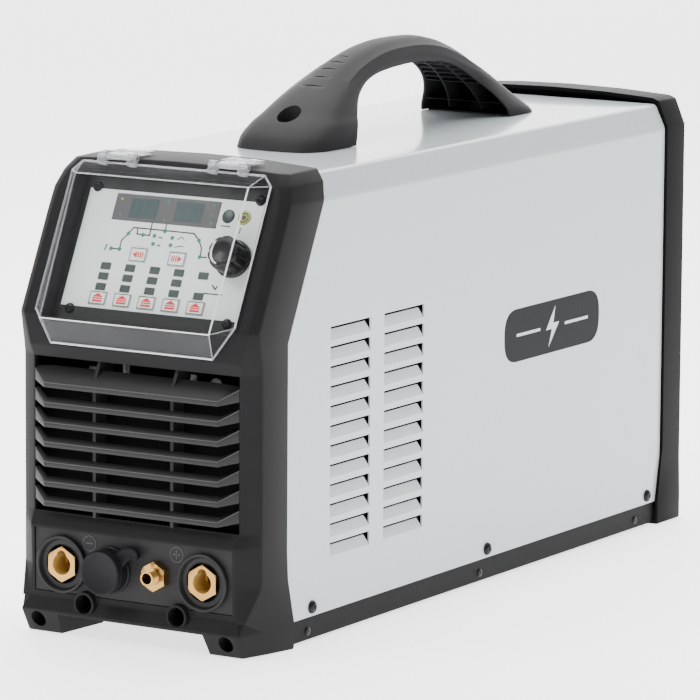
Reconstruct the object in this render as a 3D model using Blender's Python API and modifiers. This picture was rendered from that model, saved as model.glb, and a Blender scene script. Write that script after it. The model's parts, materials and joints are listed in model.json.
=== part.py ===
# TIG welding power source: portable inverter in a sheet-metal case with moulded
# front and rear bezels, a carrying handle, a tilted control panel under a clear
# hinged lid, a louvred air outlet and a row of welding connectors.
#
# Driving dimensions are in millimetres. x is across the machine, y runs from the
# front (negative) to the rear, z is up from the ground. y = 0 is the joint between
# the front bezel and the cover; OY moves the whole machine so that its bounding box
# is centred on the origin.
import bpy
import bmesh
import math
from mathutils import Vector, Matrix

# ------------------------------------------------------------------ dimensions
OY = -262.5            # places the bounding box centre at y = 0
HALF_W = 100.0         # half width of the cover
SHEET = 1.2            # cover sheet thickness
COVER_END = 553.0      # rear end of the cover
COVER_BOTTOM = 18.4
COVER_SHOULDER = 314.0 # where the side meets the top chamfer
COVER_TOP = 332.0
COVER_INSET = 8.6      # how far the chamfer steps in
WALL = 3.0             # moulded wall thickness
GAP = 0.4              # clearance between neighbouring pieces

PANEL_Y, PANEL_Z = -24.4, 233.8      # lower edge of the control panel face
TILT = math.radians(25.98)           # control panel tilt from vertical
PU = Vector((0, math.sin(TILT), math.cos(TILT)))     # up along the panel
PN = Vector((0, -math.cos(TILT), math.sin(TILT)))    # out of the panel

SOCKET_X, SOCKET_Z = 59.3, 51.4      # welding sockets
SOCKET_R = 20.7
HEX_AC = 26.1
BORE_R = 7.1
FACE_Y = -43.6                       # front of the connector panel

LOUVRE_N = 7
LOUVRE_Z0 = 96.3
LOUVRE_PITCH = 14.22
VENT_N = 12
VENT_TOP = 222.1
VENT_PITCH = 14.11

KNOB_X, KNOB_S, KNOB_R = 59.0, 44.7, 13.2
FAN_Z, FAN_R = 205.0, 68.0
HINGE_S, HINGE_OFF = 107.0, 17.0     # lid hinge line in panel coordinates
MM = 0.001

# ------------------------------------------------------------------ scene set-up
for ob in list(bpy.data.objects):
    bpy.data.objects.remove(ob, do_unlink=True)
PARTS = bpy.data.collections.new("tig_welding_machine")
CUTTERS = bpy.data.collections.new("cutters")
bpy.context.scene.collection.children.link(PARTS)
bpy.context.scene.collection.children.link(CUTTERS)

MATS = {}


def material(name, colour, rough, metal=0.0, alpha=1.0):
    m = bpy.data.materials.new(name)
    m.use_nodes = True
    b = m.node_tree.nodes["Principled BSDF"]
    b.inputs["Base Color"].default_value = (*colour, 1.0)
    b.inputs["Roughness"].default_value = rough
    b.inputs["Metallic"].default_value = metal
    b.inputs["Alpha"].default_value = alpha
    MATS[name] = m
    return m


material("charcoal_plastic", (0.055, 0.053, 0.056), 0.55)
material("black_plastic", (0.02, 0.02, 0.022), 0.45)
material("rubber_black", (0.025, 0.025, 0.027), 0.7)
material("grey_paint", (0.60, 0.63, 0.64), 0.28)
material("black_paint", (0.03, 0.032, 0.033), 0.45)
material("brass", (0.80, 0.58, 0.30), 0.28, 1.0)
material("steel_black", (0.05, 0.05, 0.055), 0.35, 0.8)
material("steel", (0.55, 0.55, 0.56), 0.35, 1.0)
material("panel_grey", (0.66, 0.70, 0.68), 0.45)
material("window_dark", (0.03, 0.035, 0.04), 0.15)
material("key_white", (0.75, 0.77, 0.75), 0.45)
material("clear_plastic", (0.85, 0.88, 0.9), 0.08, 0.0, 0.3)
material("pcb_green", (0.03, 0.16, 0.07), 0.5)
material("aluminium", (0.72, 0.73, 0.74), 0.4, 1.0)
material("copper_coil", (0.5, 0.22, 0.08), 0.4, 0.6)


# ------------------------------------------------------------------ helpers
def P(x, y, z):
    """Millimetres in machine coordinates to metres in the part frame."""
    return Vector((x * MM, (y + OY) * MM, z * MM))


def PP(x, s, off):
    """Point on the control panel: x across, s up the slope, off out of the face."""
    v = Vector((x, PANEL_Y, PANEL_Z)) + PU * s + PN * off
    return P(v.x, v.y, v.z)


def clean(me):
    bm = bmesh.new()
    bm.from_mesh(me)
    bmesh.ops.remove_doubles(bm, verts=bm.verts, dist=1e-6)
    bmesh.ops.recalc_face_normals(bm, faces=bm.faces)
    bm.to_mesh(me)
    bm.free()
    me.update()


def make(name, me, mat, smooth=None, origin=None):
    """Part object with its origin at a given point, or at the middle of its mesh."""
    if origin is None:
        lo = [min(v.co[k] for v in me.vertices) for k in range(3)]
        hi = [max(v.co[k] for v in me.vertices) for k in range(3)]
        origin = Vector([(a + b) / 2 for a, b in zip(lo, hi)])
    me.transform(Matrix.Translation(-origin))
    ob = bpy.data.objects.new(name, me)
    ob.location = origin
    PARTS.objects.link(ob)
    ob.data.materials.clear()
    ob.data.materials.append(MATS[mat])
    if smooth:
        ob.data.shade_smooth()
        ob.data.set_sharp_from_angle(angle=math.radians(smooth))
    return ob


def cutter(me):
    ob = bpy.data.objects.new("cut", me)
    CUTTERS.objects.link(ob)
    ob.hide_render = True
    ob.display_type = 'WIRE'
    return ob


def evaluated(ob):
    dg = bpy.context.evaluated_depsgraph_get()
    dg.update()
    return bpy.data.meshes.new_from_object(ob.evaluated_get(dg))


def boolean(me, other, op='DIFFERENCE'):
    """Boolean of two closed meshes, returned as a mesh."""
    a = cutter(me)
    b = cutter(other)
    m = a.modifiers.new("b", 'BOOLEAN')
    m.operation = op
    m.solver = 'EXACT'
    m.object = b
    out = evaluated(a)
    bpy.data.objects.remove(a, do_unlink=True)
    bpy.data.objects.remove(b, do_unlink=True)
    clean(out)
    return out


def cut(me, *others):
    for o in others:
        me = boolean(me, o, 'DIFFERENCE')
    return me


def join(me, *others):
    for o in others:
        me = boolean(me, o, 'UNION')
    return me


def box(lo, hi, bevel=0.0, segs=2):
    """Box between two corners in machine millimetres."""
    bm = bmesh.new()
    bmesh.ops.create_cube(bm, size=1.0)
    a, b = P(*lo), P(*hi)
    for v in bm.verts:
        v.co = Vector([(a[i] + b[i]) / 2 + v.co[i] * (b[i] - a[i]) for i in range(3)])
    if bevel:
        bmesh.ops.bevel(bm, geom=list(bm.edges), offset=bevel * MM, segments=segs,
                        profile=0.5, affect='EDGES')
    me = bpy.data.meshes.new("box")
    bm.to_mesh(me)
    bm.free()
    clean(me)
    return me


def panel_box(x0, x1, s0, s1, o0, o1, bevel=0.0):
    """Box in control panel coordinates."""
    bm = bmesh.new()
    bmesh.ops.create_cube(bm, size=1.0)
    for v in bm.verts:
        x = (x0 + x1) / 2 + v.co.x * (x1 - x0)
        s = (s0 + s1) / 2 + v.co.y * (s1 - s0)
        o = (o0 + o1) / 2 + v.co.z * (o1 - o0)
        v.co = PP(x, s, o)
    if bevel:
        bmesh.ops.bevel(bm, geom=list(bm.edges), offset=bevel * MM, segments=2,
                        profile=0.5, affect='EDGES')
    me = bpy.data.meshes.new("pbox")
    bm.to_mesh(me)
    bm.free()
    clean(me)
    return me


def frame_from(origin, axis):
    """Matrix whose +Z is axis, at origin (metres)."""
    q = Vector(axis).to_track_quat('Z', 'Y')
    return Matrix.Translation(origin) @ q.to_matrix().to_4x4()


def cylinder(origin, axis, r, length, segs=32, r2=None):
    """Cylinder or cone starting at origin (metres) and running length mm along axis."""
    bm = bmesh.new()
    bmesh.ops.create_cone(bm, cap_ends=True, segments=segs, radius1=r * MM,
                          radius2=(r if r2 is None else r2) * MM, depth=length * MM)
    bmesh.ops.translate(bm, verts=bm.verts, vec=(0, 0, length * MM / 2))
    bm.transform(frame_from(origin, axis))
    me = bpy.data.meshes.new("cyl")
    bm.to_mesh(me)
    bm.free()
    clean(me)
    return me


def lathe(origin, axis, profile, segs=32):
    """Turned solid: profile is (radius, height) in mm from the top down the outside."""
    bm = bmesh.new()
    vs = [bm.verts.new((r * MM, 0, h * MM)) for r, h in profile]
    for a, b in zip(vs, vs[1:]):
        bm.edges.new((a, b))
    me = bpy.data.meshes.new("profile")
    bm.to_mesh(me)
    bm.free()
    ob = cutter(me)
    m = ob.modifiers.new("screw", 'SCREW')
    m.axis = 'Z'
    m.angle = math.tau
    m.steps = m.render_steps = segs
    m.use_merge_vertices = True
    m.merge_threshold = 1e-6
    out = evaluated(ob)
    bpy.data.objects.remove(ob, do_unlink=True)
    out.transform(frame_from(origin, axis))
    clean(out)
    return out


def prism(pts, axis, a, b):
    """Closed outline in mm extruded along an axis between a and b.
    axis 'x': outline is (y, z); 'y': (x, z); 'z': (x, y)."""
    cu = bpy.data.curves.new("outline", 'CURVE')
    cu.dimensions = '2D'
    cu.fill_mode = 'BOTH'
    sp = cu.splines.new('POLY')
    sp.points.add(len(pts) - 1)
    for p, (u, v) in zip(sp.points, pts):
        p.co = (u * MM, v * MM, 0, 1)
    sp.use_cyclic_u = True
    cu.extrude = abs(b - a) / 2 * MM
    ob = cutter(cu)
    me = evaluated(ob)
    bpy.data.objects.remove(ob, do_unlink=True)
    mid = (a + b) / 2 * MM
    for v in me.vertices:
        u, w, t = v.co.x, v.co.y, v.co.z + mid
        if axis == 'x':
            v.co = (t, u + OY * MM, w)
        elif axis == 'y':
            v.co = (u, t + OY * MM, w)
        else:
            v.co = (u, w + OY * MM, t)
    clean(me)
    return me


def loft(sections, conv=P):
    """Closed loft through loops with equal point counts."""
    bm = bmesh.new()
    loops = [[bm.verts.new(conv(*p)) for p in s] for s in sections]
    n = len(loops[0])
    for a, b in zip(loops, loops[1:]):
        for i in range(n):
            j = (i + 1) % n
            bm.faces.new((a[i], a[j], b[j], b[i]))
    bm.faces.new(list(reversed(loops[0])))
    bm.faces.new(loops[-1])
    bmesh.ops.triangulate(bm, faces=[f for f in bm.faces if len(f.verts) > 3])
    me = bpy.data.meshes.new("loft")
    bm.to_mesh(me)
    bm.free()
    clean(me)
    return me


def mirror_x(pts):
    return [(-x, *rest) for x, *rest in reversed(pts)]


# ------------------------------------------------------------------ front bezel
def seam_y(z):
    """Joint line between the front bezel and the cover, seen from the side."""
    table = [(0, 6.0), (17, 5.6), (50, 1.4), (71, 0.3), (217.5, 0.3), (314, 47.6), (332, 54.0), (345, 56.0)]
    for (z0, y0), (z1, y1) in zip(table, table[1:]):
        if z <= z1:
            return y0 + (y1 - y0) * (z - z0) / (z1 - z0)
    return table[-1][1]


# z, rear half width, (corner x, y), (front edge x, y)
BEZEL = [
    (0.0, 103.2, (97.2, -19.5), (90.6, -41.5)),
    (17.5, 104.0, (98.0, -22.0), (92.0, -49.6)),
    (26.0, 103.2, (94.0, -44.9), (85.5, -44.2)),
    (50.0, 101.0, (100.0, -32.4), (85.6, -44.3)),
    (71.0, 100.5, (100.0, -32.4), (85.7, -44.7)),
    (78.0, 100.5, (100.0, -32.4), (85.9, -45.4)),
    (87.0, 100.5, (100.0, -32.4), (86.6, -40.0)),
    (199.2, 100.5, (100.0, -32.4), (86.6, -40.0)),
    (207.0, 100.5, (100.0, -33.4), (88.0, -42.6)),
    (217.5, 100.5, (100.0, -35.3), (90.8, -42.1)),
    (229.0, 100.5, (100.0, -37.3), (93.8, -41.6)),
    (300.0, 100.5, (99.8, -2.7), (93.3, -7.0)),
    (314.0, 100.3, (99.3, 4.1), (92.6, -0.2)),
    (326.0, 97.0, (95.3, 11.0), (88.5, 6.4)),
]


def bezel_sections(inset=0.0, zmin=None, zmax=None, rear=None):
    out = []
    for z, rx, (bx, by), (fx, fy) in BEZEL:
        if zmin is not None and z < zmin - 0.01:
            continue
        if zmax is not None and z > zmax + 0.01:
            continue
        ry = seam_y(z) if rear is None else rear
        half = [(0, ry, z), (45, ry, z), (rx - inset, ry, z), (bx - inset, by + 0.6 * inset, z),
                (fx - 0.6 * inset, fy + inset, z), (45, fy + inset, z), (0, fy + inset, z)]
        out.append(half + [(-x, y, zz) for x, y, zz in reversed(half[1:-1])])
    return out


def bezel_top(inset=0.0, rear=None):
    ry = 54.0 if rear is None else rear
    half = [(0, ry, 338.6 - inset), (45, ry, 337.8 - inset), (90.5 - inset, ry, 334.6 - inset), (89.6 - inset, 17.5 + inset, 334.0 - inset),
            (82.5 - inset, 13.0 + inset, 334.6 - inset), (45, 12.6 + inset, 336.4 - inset), (0, 12.4 + inset, 337.0 - inset)]
    return half + [(-x, y, zz) for x, y, zz in reversed(half[1:-1])]


outer = loft(bezel_sections() + [bezel_top()])
inner = loft(bezel_sections(WALL, zmin=26.0, rear=90.0) + [bezel_top(WALL, rear=90.0)])
bezel = cut(outer, inner)
# recess walls around the control panel
bezel = join(bezel, panel_box(-82.6, 82.6, -15.6, 105.0, -3.2, 10.0))
bezel = cut(bezel, panel_box(-79.5, 79.5, -12.5, 101.9, -30.0, 40.0))
# air outlet, connector window, screw access holes and foot holes
bezel = cut(bezel, box((-86.1, -60, 87.6), (86.1, -20, 198.7)))
bezel = cut(bezel, box((-83.4, -60, 30.4), (83.4, -34, 76.2)))
bezel = join(bezel, cylinder(P(39.1, -48.2, 25.2), (0, 1, 0), 8.4, 9.0, 28),
             cylinder(P(-39.1, -48.2, 25.2), (0, 1, 0), 8.4, 9.0, 28))
bezel = cut(bezel, cylinder(P(39.1, -60, 25.2), (0, 1, 0), 6.8, 40.0, 28),
            cylinder(P(-39.1, -60, 25.2), (0, 1, 0), 6.8, 40.0, 28))
bezel = cut(bezel, cylinder(P(79.1, -60, 10.0), (0, 1, 0), 5.9, 28.0, 24),
            cylinder(P(-79.1, -60, 10.0), (0, 1, 0), 5.9, 28.0, 24))
# gap between the two feet
bezel = cut(bezel, loft([[(-66.7, -80, -2), (66.7, -80, -2), (57.0, 30, -2), (-57.0, 30, -2)],
                         [(-63.6, -80, 15.2), (63.6, -80, 15.2), (55.0, 30, 15.2), (-55.0, 30, 15.2)]]))
make("front_bezel", bezel, "charcoal_plastic")

# ------------------------------------------------------------------ louvre grille
SL = 7.4 / 8.1          # rise of each louvre per unit depth


def louvre(z0, depth=-22.0, t=4.0):
    plan = [(-85.7, depth), (-85.7, -39.8), (-72.8, -48.0), (72.8, -48.0), (85.7, -39.8), (85.7, depth)]
    top = [(x, y, z0 + (y + 48.0) * SL) for x, y in plan]
    bot = [(x, y, z - t) for x, y, z in top]
    return loft([bot, top])


grille = louvre(LOUVRE_Z0)
ribs = [prism([(-44.2, 87.6), (-22.0, 87.6), (-22.0, 198.6), (-36.0, 198.6), (-44.2, 190.0)], 'x', sx * 32.6 - 1.4, sx * 32.6 + 1.4)
        for sx in (-1, 1)]
grille = join(grille, *ribs)
for i in range(1, LOUVRE_N):
    grille = join(grille, louvre(LOUVRE_Z0 + i * LOUVRE_PITCH))
grille = cut(grille, box((-90, -60, 198.6), (90, 0, 260)))
make("front_louvre_grille", grille, "charcoal_plastic")

# ------------------------------------------------------------------ connector panel
cp = box((-83.0, FACE_Y, 30.8), (83.0, FACE_Y + 3.0, 75.8))
for sx in (-1, 1):
    cp = cut(cp, cylinder(P(sx * 39.1, -60, 25.2), (0, 1, 0), 8.8, 40.0, 28))
    cp = cut(cp, cylinder(P(sx * SOCKET_X, -60, SOCKET_Z), (0, 1, 0), 16.4, 40.0, 32))
cp = cut(cp, cylinder(P(-19.0, -60, 51.5), (0, 1, 0), 12.4, 40.0, 28))
cp = cut(cp, cylinder(P(20.5, -60, 52.0), (0, 1, 0), 6.4, 40.0, 24))
make("connector_panel", cp, "black_plastic")

# ------------------------------------------------------------------ welding sockets
for name, sx in (("socket_housing_negative", -1), ("socket_housing_positive", 1)):
    prof = [(HEX_AC / 2 + 0.6, 44.8), (18.4, 44.8), (18.6, 47.0), (20.2, 47.5), (20.7, 47.0), (20.7, 43.95),
            (16.0, 43.95), (16.0, 12.0), (HEX_AC / 2 + 0.6, 12.0), (HEX_AC / 2 + 0.6, 44.8)]
    ring = lathe(P(sx * SOCKET_X, 0, SOCKET_Z), (0, -1, 0), prof, 40)
    make(name, ring, "black_plastic", 35)
for name, sx in (("socket_insert_negative", -1), ("socket_insert_positive", 1)):
    hexa = cylinder(P(sx * SOCKET_X, -46.2, SOCKET_Z), (0, 1, 0), HEX_AC / 2, 40.0, 6)
    hexa = join(hexa, cylinder(P(sx * SOCKET_X, -6.3, SOCKET_Z), (0, 1, 0), 6.0, 22.0, 20))
    key = box((sx * SOCKET_X - 3.4, -50, SOCKET_Z), (sx * SOCKET_X + 3.4, -18, SOCKET_Z + 9.6))
    hexa = cut(hexa, cylinder(P(sx * SOCKET_X, -50, SOCKET_Z), (0, 1, 0), BORE_R, 34.0, 32), key)
    make(name, hexa, "brass")

# control socket with its rubber dust cap
body = lathe(P(-19.0, 0, 51.5), (0, -1, 0),
             [(0, 53.5), (11.0, 53.5), (11.0, 46.4), (17.0, 46.4), (17.0, 43.95), (12.0, 43.95), (12.0, 24.0), (0, 24.0)], 32)
make("control_socket", body, "black_plastic", 35)
cap = lathe(P(-19.0, 0, 51.5), (0, -1, 0),
            [(0, 58.0), (15.2, 58.0), (15.9, 57.3), (15.9, 46.8), (11.4, 46.8), (11.4, 54.0), (0, 54.0)], 32)
tab = box((-8.0, -52.0, 61.0), (3.5, -48.4, 66.5))
tab = join(tab, box((-9.5, -52.0, 57.0), (-5.0, -48.4, 65.0)))
cap = join(cap, tab)
make("dust_cap", cap, "rubber_black", 35)

# shielding gas outlet
gas = cylinder(P(20.5, -50.0, 52.0), (0, 1, 0), 10.8, 6.05, 6)
gas = join(gas, cylinder(P(20.5, -57.5, 52.0), (0, 1, 0), 5.7, 40.0, 24))
gas = cut(gas, cylinder(P(20.5, -60.0, 52.0), (0, 1, 0), 4.0, 30.0, 20))
make("gas_outlet_fitting", gas, "brass")

# ------------------------------------------------------------------ control panel
plate = panel_box(-79.0, 79.0, -12.0, 101.4, -3.0, -1.2)
film = panel_box(-79.0, 79.0, -12.0, 101.4, -0.9, 0.0)
KEYS = [("key_select_1", -44.7, 7.3, 6.9, 4.7), ("key_select_2", -24.3, 7.2, 6.9, 4.7),
        ("key_select_3", -3.7, 7.1, 6.9, 4.7), ("key_select_4", 16.5, 7.0, 6.9, 4.7),
        ("key_select_5", 37.3, 6.9, 6.9, 4.7), ("key_previous", -20.4, 41.5, 6.8, 5.0),
        ("key_next", 12.2, 41.0, 6.8, 5.0)]
for n, x, s, hx, hs in KEYS:
    film = cut(film, panel_box(x - hx - 0.3, x + hx + 0.3, s - hs - 0.3, s + hs + 0.3, -5, 5))
    plate = cut(plate, panel_box(x - hx + 1.2, x + hx - 1.2, s - hs + 1.0, s + hs - 1.0, -5, 5))
WIN = (-50.4, 36.9, 66.2, 85.5)
film = cut(film, panel_box(WIN[0] - 0.3, WIN[1] + 0.3, WIN[2] - 0.3, WIN[3] + 0.3, -5, 5))
plate = cut(plate, panel_box(WIN[0] + 2, WIN[1] - 2, WIN[2] + 2, WIN[3] - 2, -5, 5))
film = cut(film, cylinder(PP(KNOB_X, KNOB_S, -10), PN, 4.0, 20, 24))
plate = cut(plate, cylinder(PP(KNOB_X, KNOB_S, -10), PN, 4.0, 20, 24))
SCREWS = [("panel_screw_1", -68.4, 89.2), ("panel_screw_2", 68.4, 89.2),
          ("panel_screw_3", -66.0, -2.2), ("panel_screw_4", 66.0, -2.2)]
for n, x, s in SCREWS:
    film = cut(film, cylinder(PP(x, s, -10), PN, 2.3, 20, 12))
    plate = cut(plate, cylinder(PP(x, s, -10), PN, 2.3, 20, 12))
make("control_panel_plate", plate, "black_paint")
make("control_panel_overlay", film, "panel_grey")
make("display_window", panel_box(WIN[0], WIN[1], WIN[2], WIN[3], -0.9, 0.3), "window_dark")
for n, x, s, hx, hs in KEYS:
    k = panel_box(x - hx, x + hx, s - hs, s + hs, -0.3, 0.9)
    k = join(k, panel_box(x - hx + 1.6, x + hx - 1.6, s - hs + 1.4, s + hs - 1.4, -4.2, 0.0))
    make(n, k, "key_white")
for n, x, s in SCREWS:
    sc = lathe(PP(x, s, 0), PN, [(0, 2.3), (2.0, 2.1), (3.6, 1.3), (3.9, 0.3), (2.0, 0.3), (2.0, -7.0), (0, -7.0)], 16)
    make(n, sc, "steel_black", 35)

enc = panel_box(KNOB_X - 6.5, KNOB_X + 6.5, KNOB_S - 6.5, KNOB_S + 6.5, -10.0, -3.4)
enc = join(enc, cylinder(PP(KNOB_X, KNOB_S, -4.0), PN, 2.6, 6.2, 20))
make("encoder_body", enc, "steel")


def knob_mesh():
    """Turned knob with twelve finger scallops around its grip."""
    base = lathe(PP(KNOB_X, KNOB_S, 0), PN,
                 [(0, 19.0), (8.0, 19.0), (11.4, 18.0), (12.8, 16.2), (13.2, 13.0), (13.2, 1.0), (3.0, 1.0),
                  (3.0, 3.0), (0, 3.0)], 36)
    u, n = Vector((1, 0, 0)), PU
    for i in range(12):
        a = math.tau * i / 12
        c = PP(KNOB_X + 14.6 * math.cos(a), KNOB_S + 14.6 * math.sin(a), 6.0)
        base = cut(base, cylinder(c, PN, 2.6, 20.0, 10))
    return base


make("encoder_knob", knob_mesh(), "black_plastic", 30, origin=PP(KNOB_X, KNOB_S, 8.0))

# control board behind the panel
make("control_board", panel_box(-70, 70, 0, 92, -14.0, -12.2), "pcb_green")

# ------------------------------------------------------------------ clear hinged lid
FRONT = [(-71.5, -18.9, 26.3), (71.5, -18.9, 26.3), (73.4, 90.5, 26.3), (-73.4, 90.5, 26.3)]
BASE_R = [(68.5, -31.7, 9.4), (84.2, -9.2, 15.6), (84.2, 96.0, 15.1), (77.0, 103.6, 15.0)]
bm = bmesh.new()
fv = [bm.verts.new(PP(*p)) for p in FRONT]
br = [bm.verts.new(PP(*p)) for p in BASE_R]
bl = [bm.verts.new(PP(-x, s, o)) for x, s, o in BASE_R]
bm.faces.new(fv)
bm.faces.new((fv[1], fv[2], br[2], br[1]))
bm.faces.new((fv[3], fv[0], bl[1], bl[2]))
bm.faces.new((fv[0], fv[1], br[0], bl[0]))
bm.faces.new((fv[2], fv[3], bl[3], br[3]))
bm.faces.new((fv[1], br[1], br[0]))
bm.faces.new((fv[0], bl[0], bl[1]))
bm.faces.new((fv[2], br[3], br[2]))
bm.faces.new((fv[3], bl[2], bl[3]))
bmesh.ops.recalc_face_normals(bm, faces=bm.faces)
me = bpy.data.meshes.new("lid")
bm.to_mesh(me)
bm.free()
ob = cutter(me)
so = ob.modifiers.new("solid", 'SOLIDIFY')
so.thickness = 1.8 * MM
so.offset = -1.0
so.use_even_offset = True
lid = evaluated(ob)
bpy.data.objects.remove(ob, do_unlink=True)
clean(lid)
HC = PP(0, HINGE_S, HINGE_OFF)
HY, HZ = HC.y / MM - OY, HC.z / MM
# two lugs that carry the lid on its hinge pins
for x in (-59.0, -34.0, 34.0, 59.0):
    lug = panel_box(x - 3.0, x + 3.0, 101.0, HINGE_S + 0.5, HINGE_OFF - 2.6, HINGE_OFF + 2.6)
    lug = join(lug, cylinder(P(x - 3.0, HY, HZ), (1, 0, 0), 3.4, 6.0, 20))
    lid = join(lid, lug)
for x in (-46.5, 46.5):
    lid = cut(lid, cylinder(P(x - 20, HY, HZ), (1, 0, 0), 1.28, 40.0, 16))
make("clear_lid", lid, "clear_plastic", origin=HC)
for n, x in (("hinge_pin_left", -46.5), ("hinge_pin_right", 46.5)):
    make(n, cylinder(P(x - 16.2, HY, HZ), (1, 0, 0), 1.2, 32.4, 16), "steel")
for n, x in (("hinge_clip_left", -46.5), ("hinge_clip_right", 46.5)):
    foot = box((x - 14.0, 17.0, 337.8), (x + 14.0, 33.0, 340.2))
    arm = prism([(17.5, 337.8), (17.5, 340.2), (HY + 1, HZ + 2.4), (HY - 1.8, HZ + 1.8), (HY - 2.5, HZ), (HY - 1.8, HZ - 1.8), (HY + 1.5, HZ - 2.4), (HY + 5.0, HZ + 0.4)],
                'x', x - 8.6, x + 8.6)
    clip = join(foot, arm)
    clip = cut(clip, cylinder(P(x - 20, HY, HZ), (1, 0, 0), 1.28, 40.0, 16))
    make(n, clip, "clear_plastic")

# ------------------------------------------------------------------ cover
o = [(HALF_W, COVER_BOTTOM), (HALF_W, COVER_SHOULDER), (HALF_W - COVER_INSET, COVER_TOP)]
i_ = [(HALF_W - COVER_INSET - 0.7, COVER_TOP - SHEET), (HALF_W - SHEET, COVER_SHOULDER - 0.5), (HALF_W - SHEET, COVER_BOTTOM)]
outline = o + [(-x, z) for x, z in reversed(o)] + [(-x, z) for x, z in reversed(i_)] + i_
cover = prism(outline, 'y', -5.0, COVER_END)
front = [(-20.0, 10.0), (seam_y(0) + GAP, 10.0), (seam_y(17) + GAP, 17.0), (seam_y(50) + GAP, 50.0), (seam_y(71) + GAP, 71.0),
         (seam_y(217.5) + GAP, 217.5), (seam_y(314) + GAP, 314.0), (seam_y(332) + GAP, 332.0), (seam_y(332) + GAP, 350.0), (-20.0, 350.0)]
cover = cut(cover, prism(front, 'x', -120, 120))
bm = bmesh.new()
for col in ((57.0, 111.5), (130.0, 186.0)):
    for i in range(VENT_N):
        z1 = VENT_TOP - VENT_PITCH * i
        a, b = P(-120, col[0], z1 - 4.2), P(120, col[1], z1)
        r = bmesh.ops.create_cube(bm, size=1.0)
        for v in r["verts"]:
            v.co = Vector([(a[k] + b[k]) / 2 + v.co[k] * (b[k] - a[k]) for k in range(3)])
slots = bpy.data.meshes.new("slots")
bm.to_mesh(slots)
bm.free()
cover = cut(cover, slots)
SIDE_SCREWS = [33.7, 281.2, 532.2]
for y in SIDE_SCREWS:
    cover = cut(cover, cylinder(P(-120, y, 25.0), (1, 0, 0), 2.4, 240.0, 12))
HANDLE_SCREWS = [160.0, 440.0]
for y in HANDLE_SCREWS:
    cover = cut(cover, cylinder(P(0, y, 320), (0, 0, 1), 3.4, 30.0, 16))
make("cover", cover, "grey_paint")
k = 0
for side, sx in (("left", -1), ("right", 1)):
    for j, y in enumerate(SIDE_SCREWS):
        sc = lathe(P(sx * HALF_W, y, 25.0), (sx, 0, 0), [(0, 2.9), (2.4, 2.6), (4.4, 1.4), (4.8, 0.3), (2.0, 0.3), (2.0, -7.0), (0, -7.0)], 16)
        make("cover_screw_%s_%d" % (side, j + 1), sc, "steel_black", 35)

# ------------------------------------------------------------------ base tray
t = [(99.6, 2.2), (99.6, 18.0), (98.3, 18.0), (98.3, 36.0), (96.8, 36.0), (96.8, 3.7)]
tray = prism(t + [(-x, z) for x, z in reversed(t)], 'y', 8.0, 544.0)
for y in SIDE_SCREWS:
    tray = cut(tray, cylinder(P(-120, y, 25.0), (1, 0, 0), 2.4, 240.0, 12))
make("base_tray", tray, "black_paint")

# ------------------------------------------------------------------ rear bezel
ring = [(103.0, 20.0), (102.2, 50.0), (102.2, 314.5), (94.0, 334.5), (90.0, 336.6), (45.0, 339.0), (0.0, 339.8)]
def rear_outline(inset, low):
    r = [(x - inset, z) for x, z in ring if z < 320] + [(94.0 - inset, 334.5 - inset * 0.8), (88.0 - inset, 336.6 - inset), (45.0, 339.0 - inset), (0.0, 339.8 - inset)]
    pts = [(103.0 - inset, low)] + r
    return pts + [(-x, z) for x, z in reversed(pts[:-1])]
rear = prism(rear_outline(0.0, 0.0), 'y', 545.0, 583.0)
# the lip reaches forward only near the ground
rear = cut(rear, prism([(540.0, 60.0), (553.6, 60.0), (553.6, 360.0), (540.0, 360.0)], 'x', -130, 130))
rear = cut(rear, prism([(540.0, 8.0), (545.6, 20.0), (553.6, 60.0), (540.0, 60.0)], 'x', -130, 130))
rear = cut(rear, prism(rear_outline(WALL, 16.0), 'y', 500.0, 600.0))
rear = cut(rear, prism([(-63, -5), (63, -5), (57, 12.6), (-57, 12.6)], 'y', 500.0, 600.0))
# inner flange that carries the rear panel
flange = cut(prism(rear_outline(2.0, 14.0), 'y', 561.0, 564.0), prism(rear_outline(10.0, 23.0), 'y', 500.0, 600.0))
rear = join(rear, flange)
# clearance for the cover end
rear = cut(rear, box((-100.5, 530.0, 14.0), (100.5, 553.6, 350.0)))
make("rear_bezel", rear, "charcoal_plastic")

# ------------------------------------------------------------------ rear panel and what it carries
rp = prism(rear_outline(WALL + 0.5, 16.6), 'y', 564.4, 566.4)
rp = cut(rp, cylinder(P(0, 540, FAN_Z), (0, 1, 0), FAN_R, 60, 48))
rp = cut(rp, box((37.6, 540, 291.6), (64.4, 600, 314.4)))
rp = cut(rp, cylinder(P(-52, 540, 52), (0, 1, 0), 12.4, 60, 28))
rp = cut(rp, cylinder(P(40, 540, 52), (0, 1, 0), 7.4, 60, 24))
rp = cut(rp, cylinder(P(0, 540, 40), (0, 1, 0), 4.4, 60, 20))
make("rear_panel", rp, "black_paint")

sw = join(box((38.0, 545.0, 292.0), (64.0, 566.9, 314.0)), box((34.0, 566.8, 289.0), (68.0, 569.0, 317.0)))
sw = cut(sw, box((39.6, 553.0, 293.2), (62.4, 580.0, 312.8)))
make("power_switch_body", sw, "black_plastic")
rk = prism([(556.5, 303.0), (558.5, 296.0), (567.5, 294.8), (574.0, 296.0), (570.0, 303.0), (568.6, 310.6), (567.5, 311.2), (558.5, 310.0)], 'x', 40.2, 61.8)
make("power_switch_rocker", rk, "black_plastic", origin=P(51.0, 564.0, 303.0))

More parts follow.
